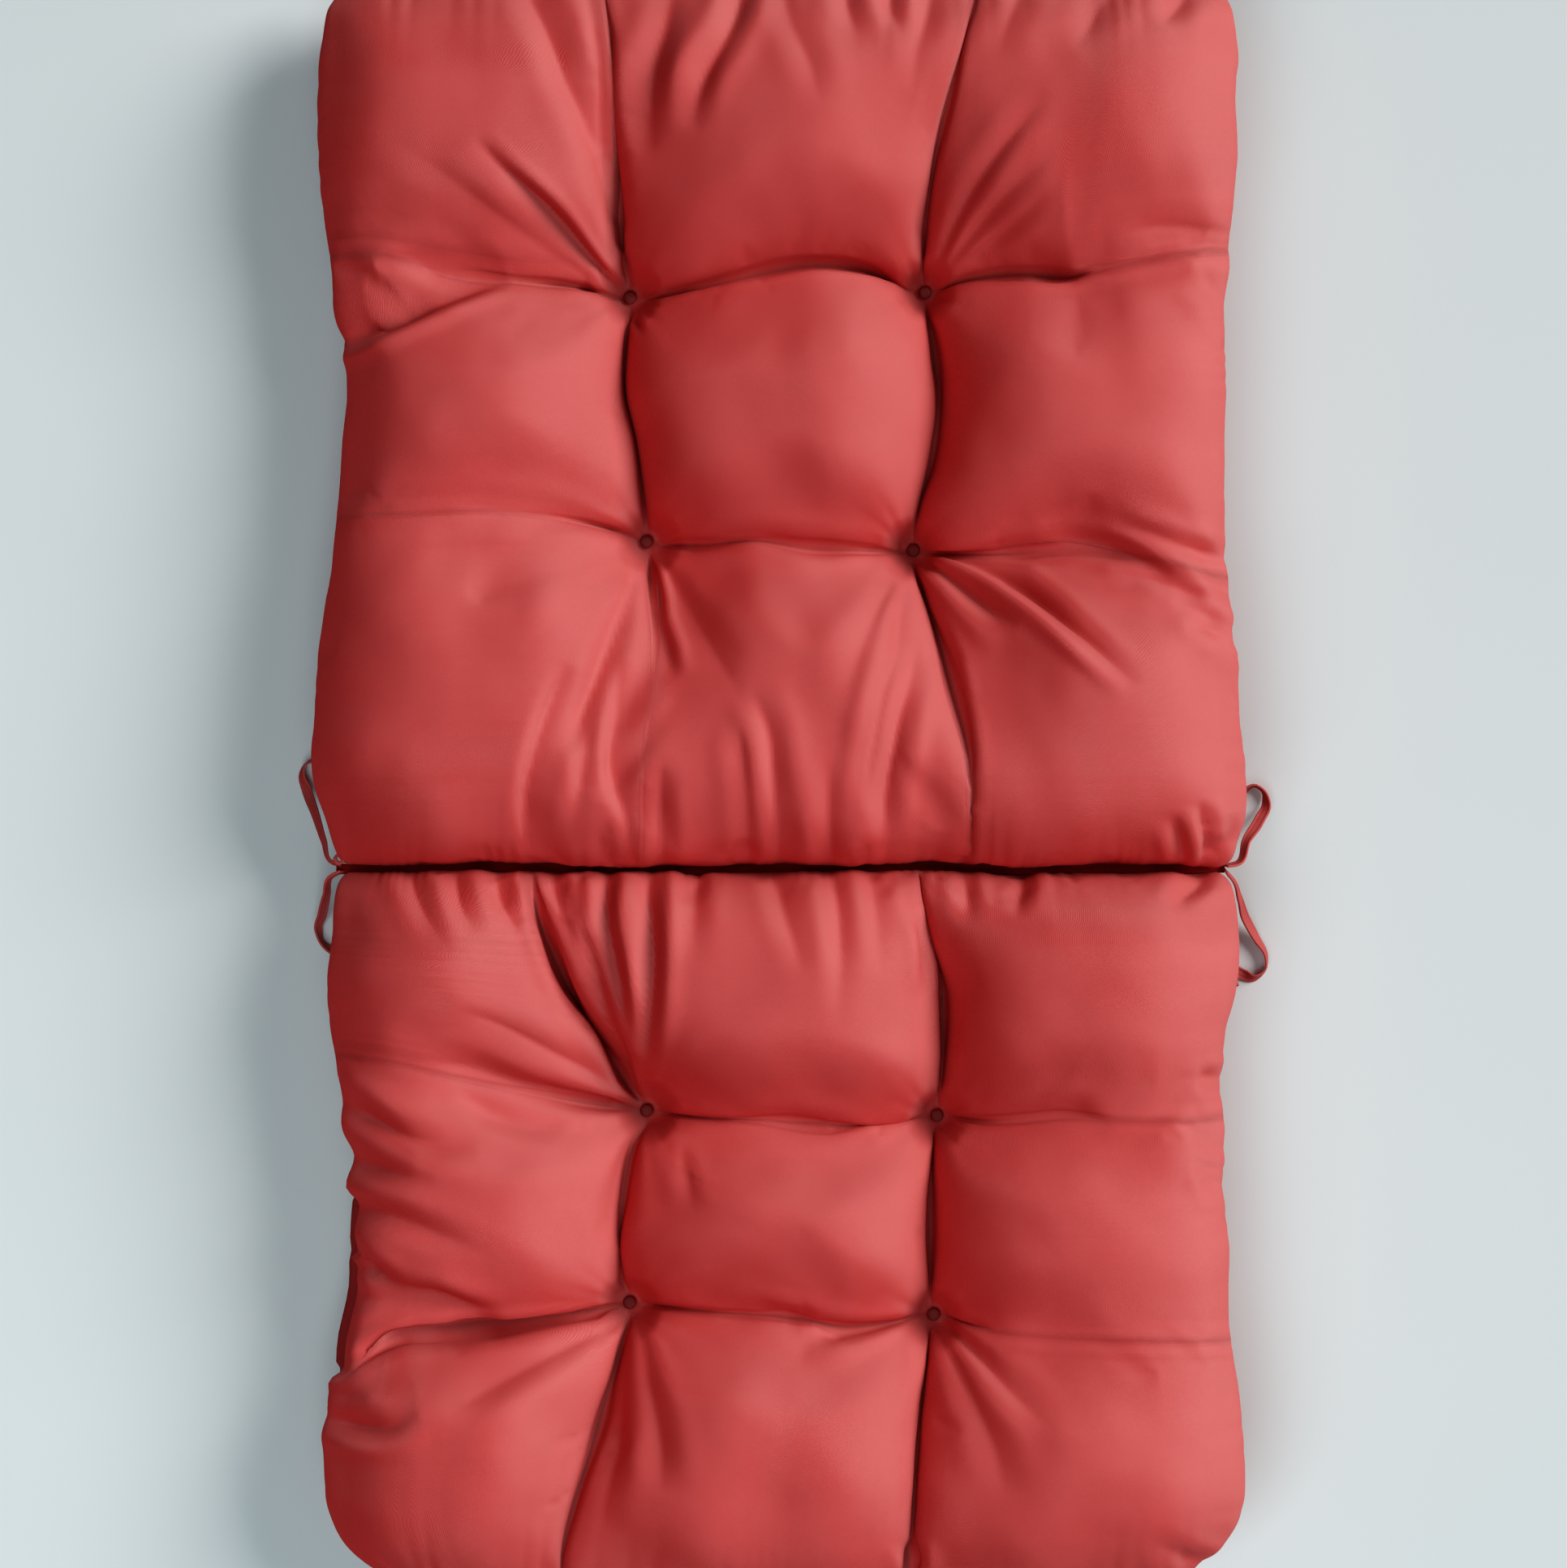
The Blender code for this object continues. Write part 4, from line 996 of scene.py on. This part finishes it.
# %% Panels
SIDE_BULGE = 5.5
HINGE_BULGE = 0.4
BULGE_PLACE = 2.5
PULLED_IN = 4.8
PULL_FADE = 13.0
PUSHED_OUT = 10.5
PUSH_START = 2.5
PUSH_FADE = 22.0
SEAM_INSET = 2.6
HALF_WIDTH = 262.0
REST_HALF_WIDTH = 205.0
REST_FROM_END = 58.0
REST_FROM_HINGE = 54.0
DIMPLE_RADIUS = 42.0
DIMPLE_DEPTH = 11.0


def lower_shows(along):
    """Where the under panel shows past the seam on the seat's left side, from 0 to 1."""
    first = soft_step((along + 300) / 8) * soft_step((-227 - along) / 5)
    second = soft_step((along + 229) / 5) * soft_step((-184 - along) / 14)
    return first + 0.9 * second


def bulge(distance, most):
    return most * distance / BULGE_PLACE * np.exp(1 - distance / BULGE_PLACE)


def grid_normals(points):
    across = np.gradient(points, axis=0)
    along = np.gradient(points, axis=1)
    normal = np.cross(along, across)
    return normal / np.linalg.norm(normal, axis=-1)[..., None]


def cloth_lengths(points):
    """UV coordinates in metres, measured along the cloth from the middle of the panel."""
    coordinates = []
    for axis in (0, 1):
        hops = np.linalg.norm(np.diff(points, axis=axis), axis=-1)
        start = np.zeros_like(np.take(hops, [0], axis=axis))
        run = np.concatenate([start, np.cumsum(hops, axis=axis)], axis=axis)
        middle = np.take(run, [run.shape[axis] // 2], axis=axis)
        coordinates.append((run - middle) * METRES)
    return np.stack(coordinates, axis=-1)


def face_points(pocket, across, along):
    shape = across.shape
    across, along = across.ravel(), along.ravel()
    from_left, from_right = side_distances(across, along)
    from_end = np.abs(pocket.sign * pocket.length - along)
    from_hinge = np.abs(along - hinge_rim(pocket, across))
    rise_side = rise(np.minimum(from_left, from_right), SIDE_RIM)
    rise_end = rise(from_end, SIDE_RIM)
    rise_hinge = rise(from_hinge, HINGE_RIM)
    risen = rise_side * rise_end * rise_hinge
    height = (SEAM_HEIGHT + 0.6) * (1 - risen) + crown(pocket, across, along) * risen
    height, free = pull_to_pads(across, along, height)
    ends = np.sqrt(rise_end * rise_hinge)
    shown = lower_shows(along)
    outward = (bulge(from_right, SIDE_BULGE) - bulge(from_left, SIDE_BULGE) * (1 - shown)) * ends
    forward = pocket.sign * (bulge(from_end, SIDE_BULGE) - bulge(from_hinge, HINGE_BULGE))
    inward = SEAM_INSET * across / HALF_WIDTH
    outward += PULLED_IN * shown * np.exp(-from_left / PULL_FADE)
    points = np.stack([across - inward + outward, along + forward * np.sqrt(rise_side), height], axis=1)
    points = points.reshape(*shape, 3)
    held = pinned(pocket, across.reshape(shape), along.reshape(shape), free.reshape(shape))
    points = points + filled_out(pocket, points, held)
    lift = small_forms(pocket, across, along, free).reshape(shape)
    return points + grid_normals(points) * lift[..., None]


def under_points(pocket, across, along):
    left, right = side_edges(along)
    side_rim = np.where(across < 0, -left, right) - REST_HALF_WIDTH
    from_left, from_right = across - left, right - across
    from_end = np.abs(pocket.sign * pocket.length - along)
    from_hinge = np.abs(along - hinge_rim(pocket, across))
    risen = (rise(np.minimum(from_left, from_right), side_rim) * rise(from_end, REST_FROM_END)
             * rise(from_hinge, REST_FROM_HINGE - HALF_HINGE))
    height = (SEAM_HEIGHT - 0.6) * (1 - risen)
    for away in button_distances(across, along):
        height = height + DIMPLE_DEPTH * np.clip(1 - away / DIMPLE_RADIUS, 0, 1)**2
    inward = SEAM_INSET * across / HALF_WIDTH
    pushed = PUSHED_OUT * soft_step(from_left / PUSH_START) * np.exp(-from_left / PUSH_FADE)
    moved = (PULLED_IN * np.exp(-from_left / PULL_FADE) - pushed) * lower_shows(along)
    return np.stack([across - inward + moved, along, height], axis=-1)


print("seam to seam:", 2 * (HALF_WIDTH - SEAM_INSET), "mm")


# %% [markdown]
# The panels are joined along their common rim. Every second rim point of the face has no line on the
# under panel, so the under panel's outermost cells have an extra corner there, which closes the rim
# without a gap.

# %% Sewing the panels together
def under_cells(index, last):
    """Corners of each under-panel cell, with the face's rim points between its own."""
    cells = []
    columns, rows = last
    for column in range(0, columns, 2):
        for row in range(0, rows, 2):
            cell = [index[column, row]]
            if row == 0:
                cell.append(index[column + 1, 0])
            cell.append(index[column + 2, row])
            if column + 2 == columns:
                cell.append(index[columns, row + 1])
            cell.append(index[column + 2, row + 2])
            if row + 2 == rows:
                cell.append(index[column + 1, rows])
            cell.append(index[column, row + 2])
            if column == 0:
                cell.append(index[0, row + 1])
            cells.append(cell)
    return cells


def pocket_mesh(pocket):
    across, along = pocket_grid(pocket)
    face = face_points(pocket, across, along)
    under = under_points(pocket, across, along)
    columns, rows = across.shape[0] - 1, across.shape[1] - 1
    face_index = np.arange(across.size).reshape(across.shape)
    under_index = np.full(across.shape, -1)
    inner = (slice(2, columns, 2), slice(2, rows, 2))
    inner_shape = under_index[inner].shape
    under_index[inner] = across.size + np.arange(math.prod(inner_shape)).reshape(inner_shape)
    for rim in ((0, slice(None)), (columns, slice(None)), (slice(None), 0), (slice(None), rows)):
        under_index[rim] = face_index[rim]
        under[rim] = face[rim]
    points = np.concatenate([face.reshape(-1, 3), under[inner].reshape(-1, 3)])
    quads = grid_quads(face_index)
    cells = under_cells(under_index, (columns, rows))
    mesh = bpy.data.meshes.new(pocket.name + "_pocket")
    mesh.from_pydata(in_metres(*points.T).tolist(), [], quads.tolist() + cells)

    face_uv = cloth_lengths(face).reshape(-1, 2)
    under_uv = np.zeros((len(points), 2))
    under_lengths = cloth_lengths(under)
    shown = under_index >= 0
    under_uv[under_index[shown]] = under_lengths[shown]
    corners = np.array([loop.vertex_index for loop in mesh.loops])
    uvs = under_uv[corners]
    uvs[:quads.size] = face_uv[corners[:quads.size]]
    mesh.uv_layers.new(name="cloth").data.foreach_set("uv", uvs.ravel())
    mesh.shade_smooth()
    mesh.validate()
    return mesh


pocket_pieces = []
for pocket in POCKETS:
    piece = add_piece(pocket.name + "_pocket", pocket_mesh(pocket), "cushion")
    pocket_pieces.append(piece)
    print(piece.name, "has", len(piece.data.polygons), "faces")

# %% [markdown]
# Between the pockets the two panels are stitched flat on each other, as a narrow strip from side to
# side. The strip wanders with the hinge seam, and its ends reach the corners where the ties leave.

# %% Hinge strip
STRIP_STEP = 2.0
STRIP_DROP = 4.5
STRIP_END = 261.0
STRIP_SECTION = [
    SectionPoint(-3.1, .3), SectionPoint(-2.3, .7), SectionPoint(-.7, .95), SectionPoint(0, .7),
    SectionPoint(.7, .95), SectionPoint(2.3, .7), SectionPoint(3.1, .3), SectionPoint(2.1, -.7),
    SectionPoint(0, -.8), SectionPoint(-2.1, -.7),
]


def hinge_strip():
    across = np.arange(-STRIP_END, STRIP_END + STRIP_STEP, STRIP_STEP)
    aside = np.array([point.aside for point in STRIP_SECTION])
    height = np.array([point.height for point in STRIP_SECTION])
    along = hinge_way(across)[:, None] + aside
    ripple = 0.5 * np.sin(across / 5.3) + 0.4 * np.sin(across / 9.1)
    height = SEAM_HEIGHT - STRIP_DROP + ripple[:, None] + height
    places = in_metres(*np.broadcast_arrays(across[:, None], along, height))
    uvs = np.stack(np.broadcast_arrays(across[:, None] * METRES, aside * METRES), axis=-1)
    return add_piece("hinge_strip", grid_mesh("hinge_strip", places, uvs), "cushion")


KNOT_PLACE = (-258.5, 5.5, SEAM_HEIGHT + 3.5)
KNOT_RADIUS = 2.4
KNOT_TUBE = 1.25


def left_knot():
    """The small knot where the left ties meet: a short coil, tied once round."""
    way, turn = np.meshgrid(np.linspace(0, 2.3 * math.pi, 48), np.linspace(0, 2 * math.pi, 17)[:-1],
                            indexing="ij")
    radius = KNOT_RADIUS + KNOT_TUBE * np.cos(turn) * (1 + 0.25 * np.sin(2 * way))
    across = KNOT_PLACE[0] + radius * np.cos(way)
    along = KNOT_PLACE[1] + radius * np.sin(way)
    height = KNOT_PLACE[2] + KNOT_TUBE * np.sin(turn) + 0.45 * way
    uvs = np.stack([way * KNOT_RADIUS, turn * KNOT_TUBE], axis=-1) * METRES
    mesh = grid_mesh("tie_left_knot", in_metres(across, along, height), uvs)
    return add_piece("tie_left_knot", mesh, "tie_left_upper")


strip = hinge_strip()
tapes.append(left_knot())
print("hinge strip is", round(2 * STRIP_END), "mm long")

# %% [markdown]
# A covered button is a small dome with the cloth drawn over its edge in tiny pleats. Turning a
# profile gives the dome, and each ring is rippled a little more towards the edge. All eight share
# one form, and each is placed where the plain model has its button.

# %% Covered buttons
BUTTON_TURNS = 56
PLEATS = 18
RingPoint = namedtuple("RingPoint", "radius height pleat")
BUTTON_RINGS = [
    RingPoint(.02, 3.2, 0), RingPoint(.8, 3.16, 0), RingPoint(1.6, 3.05, .01), RingPoint(2.4, 2.82, .02),
    RingPoint(3.0, 2.5, .04), RingPoint(3.5, 2.1, .07), RingPoint(3.82, 1.6, .11),
    RingPoint(3.9, 1.1, .14), RingPoint(3.82, .6, .14), RingPoint(3.6, .25, .1), RingPoint(3.0, .05, .04),
    RingPoint(.02, .05, 0),
]


def covered_button(name):
    middle_across, middle_along, underside = BUTTONS[name]
    turn = np.linspace(0, 2 * math.pi, BUTTON_TURNS, endpoint=False)
    rings = np.array(BUTTON_RINGS)[:, :, None]
    radius = rings[:, 0] + rings[:, 2] * np.cos(PLEATS * turn + 1.3 * np.sin(3 * turn))
    across = middle_across + radius * np.cos(turn)
    along = middle_along + radius * np.sin(turn)
    places = in_metres(across, along, underside + rings[:, 1] + 0 * turn)
    uvs = np.stack([across, along], axis=-1) * METRES
    return add_piece(name + "_cover", grid_mesh(name, places, uvs), name)


button_pieces = [covered_button(name) for name in BUTTON_NAMES]
print("covered buttons:", len(button_pieces))

# %% [markdown]
# The cloth's look comes from shader nodes. A node is added to the material's tree, gets its settings,
# and each of its inputs either gets a number or is linked to another node's output. A few helpers do
# that, so that the cloth below reads like a list of what happens to its colour.

# %% Node helpers
def new_material(name):
    made = bpy.data.materials.new(name)
    made.use_nodes = True
    return made, made.node_tree, made.node_tree.nodes["Principled BSDF"]


def set_inputs(tree, made, inputs):
    """Gives each input of a node its value, or links another node's output to it."""
    for key, value in inputs.items():
        if isinstance(value, bpy.types.NodeSocket):
            tree.links.new(value, made.inputs[key])
        else:
            made.inputs[key].default_value = value


def node(tree, kind, inputs, **settings):
    """The outputs of a new node with these inputs and settings."""
    made = tree.nodes.new(kind)
    for key, value in settings.items():
        setattr(made, key, value)
    set_inputs(tree, made, inputs)
    return made.outputs


def math_node(tree, operation, *values):
    return node(tree, "ShaderNodeMath", dict(enumerate(values)), operation=operation)[0]


def noise(tree, vector, scale, detail, roughness=0.5):
    return node(tree, "ShaderNodeTexNoise", {"Vector": vector, "Scale": scale, "Detail": detail,
                                             "Roughness": roughness})["Fac"]


def mix_colors(tree, share, first, second):
    return node(tree, "ShaderNodeMix", {0: share, 6: first, 7: second}, data_type="RGBA")[2]


def ramp(tree, value, start, end, most=1.0):
    """A number that rises smoothly from 0 at the start value to its most at the end value."""
    return node(tree, "ShaderNodeMapRange", {"Value": value, "From Min": start, "From Max": end,
                                             "To Max": most}, interpolation_type="SMOOTHSTEP")["Result"]


def bump(tree, height, strength, distance, **below):
    return node(tree, "ShaderNodeBump", {"Height": height, "Strength": strength,
                                         "Distance": distance, **below})["Normal"]


# %% [markdown]
# The cover is a smooth, closely woven cotton blend in a warm red, with random tone and grain. Light and
# shade are also painted into its colour: it is painted paler where a puff faces the main light, a
# painted highlight, and deeper where it faces away, a painted shade. The under panel, which looks
# down, is painted in deep shade, also where it shows past the seam on the seat's left. The satin finish
# is a thin coat with a high refractive index, because such a coat reflects almost alike in all
# directions, and doesn't lay a grey veil on the steep sides; it is thinner where shade is painted.
# The weave is two families of threads, the product of two waves along the cloth, read from the UV map.

# %% Woven cloth
THREAD_PITCH = 0.0009
# The way to the main light: the cloth is painted paler on the sides that face it, a painted highlight, and
# deeper on those that face away, a painted shade.
PAINTED_LIGHT_SIDE = (0.90, 0.44, 0.0)
MOST_PAINTED_LIGHT = 0.75
MOST_PAINTED_SHADE = 0.7
COAT_IOR = 4.0
COAT_ROUGHNESS = 0.62
# Each cloth has its own colour, a darker tone used for random variation and for painted shade, a paler tone
# used for random variation and for painted highlight, an under colour for the painted shade on the under
# panel, a roughness, and the weight of its satin coat.
Cloth = namedtuple("Cloth", "color deep faded under roughness satin")
CLOTHS = {
    "cover_red_cloth": Cloth((.67, .031, .027, 1), (.52, .010, .009, 1), (.73, .158, .152, 1),
                             (.34, .009, .008, 1), .62, .22),
    "button_red_cloth": Cloth((.22, .018, .016, 1), (.15, .010, .010, 1), (.28, .030, .028, 1),
                              (.15, .010, .010, 1), .6, .10),
    "tape_red_cloth": Cloth((.52, .042, .036, 1), (.42, .028, .024, 1), (.60, .070, .062, 1),
                            (.42, .028, .024, 1), .55, .25),
    # The hinge strip's cloth is painted dark all over, as painted shade for the deep gap at the hinge.
    "painted_shade_red_cloth": Cloth((.26, .012, .011, 1), (.20, .008, .008, 1), (.30, .018, .017, 1),
                               (.20, .008, .008, 1), .75, 0),
}


def painted_under_shade(tree, place, level):
    """1 where shade is painted on the under panel: where it looks down, or lies low on the seat's left, else
    0.
    """
    spot = node(tree, "ShaderNodeSeparateXYZ", {0: place})
    strip = ramp(tree, spot["Z"], 0.048, 0.044)
    for value, edge in ((spot["X"], (-0.200, -0.215)), (spot["Y"], (-0.165, -0.175)), (level, (0.85, 0.50))):
        strip = math_node(tree, "MULTIPLY", strip, ramp(tree, value, *edge))
    return math_node(tree, "MAXIMUM", strip, ramp(tree, level, -0.10, -0.25))


def woven_cloth(name, cloth):
    made, tree, shader = new_material(name)
    uv = node(tree, "ShaderNodeUVMap", {}, uv_map="cloth")["UV"]
    place = node(tree, "ShaderNodeTexCoord", {})["Object"]
    normal = node(tree, "ShaderNodeNewGeometry", {})["Normal"]
    facing = node(tree, "ShaderNodeVectorMath", {0: normal, 1: PAINTED_LIGHT_SIDE}, operation="DOT_PRODUCT")["Value"]
    level = node(tree, "ShaderNodeSeparateXYZ", {0: normal})["Z"]
    # Painted shade: the share by which a side facing away from the main light is painted deeper; the satin
    # coat is made thinner there too.
    painted_shade_share = ramp(tree, facing, -0.1, -0.75, MOST_PAINTED_SHADE)
    slubs = noise(tree, uv, 900, 3)
    shade = cloth.color
    # Of these mixes, the first two are random tone and the fifth is grain; the third paints highlight on
    # sides that face the main light, the fourth paints shade on sides that face away, and the last paints
    # shade on the under panel.
    for share, other in (
            (math_node(tree, "MULTIPLY", noise(tree, place, 9, 3, 0.6), 0.35), cloth.deep),
            (math_node(tree, "MULTIPLY", noise(tree, place, 38, 4, 0.6), 0.15), cloth.faded),
            (ramp(tree, facing, -0.05, 0.65, MOST_PAINTED_LIGHT), cloth.faded),
            (painted_shade_share, cloth.deep),
            (math_node(tree, "MULTIPLY", slubs, 0.14), cloth.faded),
            (painted_under_shade(tree, place, level), cloth.under)):
        shade = mix_colors(tree, share, shade, other)
    threads = node(tree, "ShaderNodeSeparateXYZ", {0: uv})
    across, along = (math_node(tree, "SINE", math_node(tree, "MULTIPLY", threads[axis],
                                                       2 * math.pi / THREAD_PITCH)) for axis in (0, 1))
    weave = math_node(tree, "MULTIPLY", across, along)
    soft = bump(tree, noise(tree, place, 120, 3, 0.55), 0.12, 0.0012)
    fine = bump(tree, math_node(tree, "MULTIPLY_ADD", slubs, 1.6, weave), 0.7, 0.00014, Normal=soft)
    rough = math_node(tree, "MULTIPLY_ADD", slubs, 0.14, cloth.roughness - 0.07)
    coat = math_node(tree, "MULTIPLY_ADD", painted_shade_share, -cloth.satin, cloth.satin)
    set_inputs(tree, shader, {
        "Base Color": shade, "Roughness": rough, "Normal": fine, "Specular IOR Level": 0.0,
        "Coat Weight": coat, "Coat Normal": fine, "Coat IOR": COAT_IOR, "Coat Roughness": COAT_ROUGHNESS})
    return made


made_of = dict(zip(CLOTHS, (pocket_pieces, button_pieces, tapes, [strip])))
for name, cloth in CLOTHS.items():
    material = woven_cloth(name, cloth)
    for piece in made_of[name]:
        piece.data.materials.append(material)
print("cloths:", ", ".join(CLOTHS))

# %% [markdown]
# The cushion was photographed on a pale grey sheet under soft light from the upper right, so each
# puff is bright on its right and dark on its left, and a wide soft shadow lies on the left. One big
# light far away gives the direction. A weak one on the other side and a dim, pale world fill in.

# %% Floor and light
FLOOR_SIZE = 24.0
FLOOR_DROP = 0.0003
WORLD_STRENGTH = 0.065
Light = namedtuple("Light", "azimuth elevation distance size power color")
LIGHTS = {
    "window_light": Light(26, 36, 13.0, 7.0, 1335.0, (1.0, 0.975, 0.95)),
    "fill_light": Light(242, 58, 2.8, 2.0, 34.0, (0.85, 0.97, 1.0)),
}


def pale_floor():
    shape = bmesh.new()
    bmesh.ops.create_grid(shape, x_segments=2, y_segments=2, size=FLOOR_SIZE / 2)
    mesh = bpy.data.meshes.new("pale_floor")
    shape.to_mesh(mesh)
    shape.free()
    floor = bpy.data.objects.new("pale_floor", mesh)
    floor.location.z = -FLOOR_DROP
    bpy.context.scene.collection.objects.link(floor)
    sheet, tree, shader = new_material("pale_grey_sheet")
    blotches = noise(tree, node(tree, "ShaderNodeTexCoord", {})["Object"], 2.0, 2)
    shade = mix_colors(tree, blotches, (0.715, 0.75, 0.765, 1), (0.75, 0.78, 0.79, 1))
    set_inputs(tree, shader, {"Base Color": shade, "Roughness": 0.8, "Specular IOR Level": 0.2})
    mesh.materials.append(sheet)


def soft_light(name, light):
    """A square area light that looks at the cushion. Its angles are in degrees."""
    data = bpy.data.lights.new(name, "AREA")
    data.shape = "SQUARE"
    data.size = light.size
    data.energy = light.power
    data.color = light.color
    lamp = bpy.data.objects.new(name, data)
    azimuth, elevation = math.radians(light.azimuth), math.radians(light.elevation)
    level = math.cos(elevation) * light.distance
    lamp.location = (level * math.cos(azimuth), level * math.sin(azimuth),
                     math.sin(elevation) * light.distance)
    lamp.rotation_euler = (-lamp.location).to_track_quat("-Z", "Y").to_euler()
    lamp.visible_camera = False
    bpy.context.scene.collection.objects.link(lamp)


pale_floor()
for name, light in LIGHTS.items():
    soft_light(name, light)
    print(name, "is", light.elevation, "degrees above the floor")
world = bpy.data.worlds.new("pale_world")
world.use_nodes = True
background = world.node_tree.nodes["Background"].inputs
background["Color"].default_value = (0.78, 0.98, 1.0, 1)
background["Strength"].default_value = WORLD_STRENGTH
scene = bpy.context.scene
scene.world = world
scene.view_settings.view_transform = "Standard"
scene.view_settings.look = "Medium High Contrast"
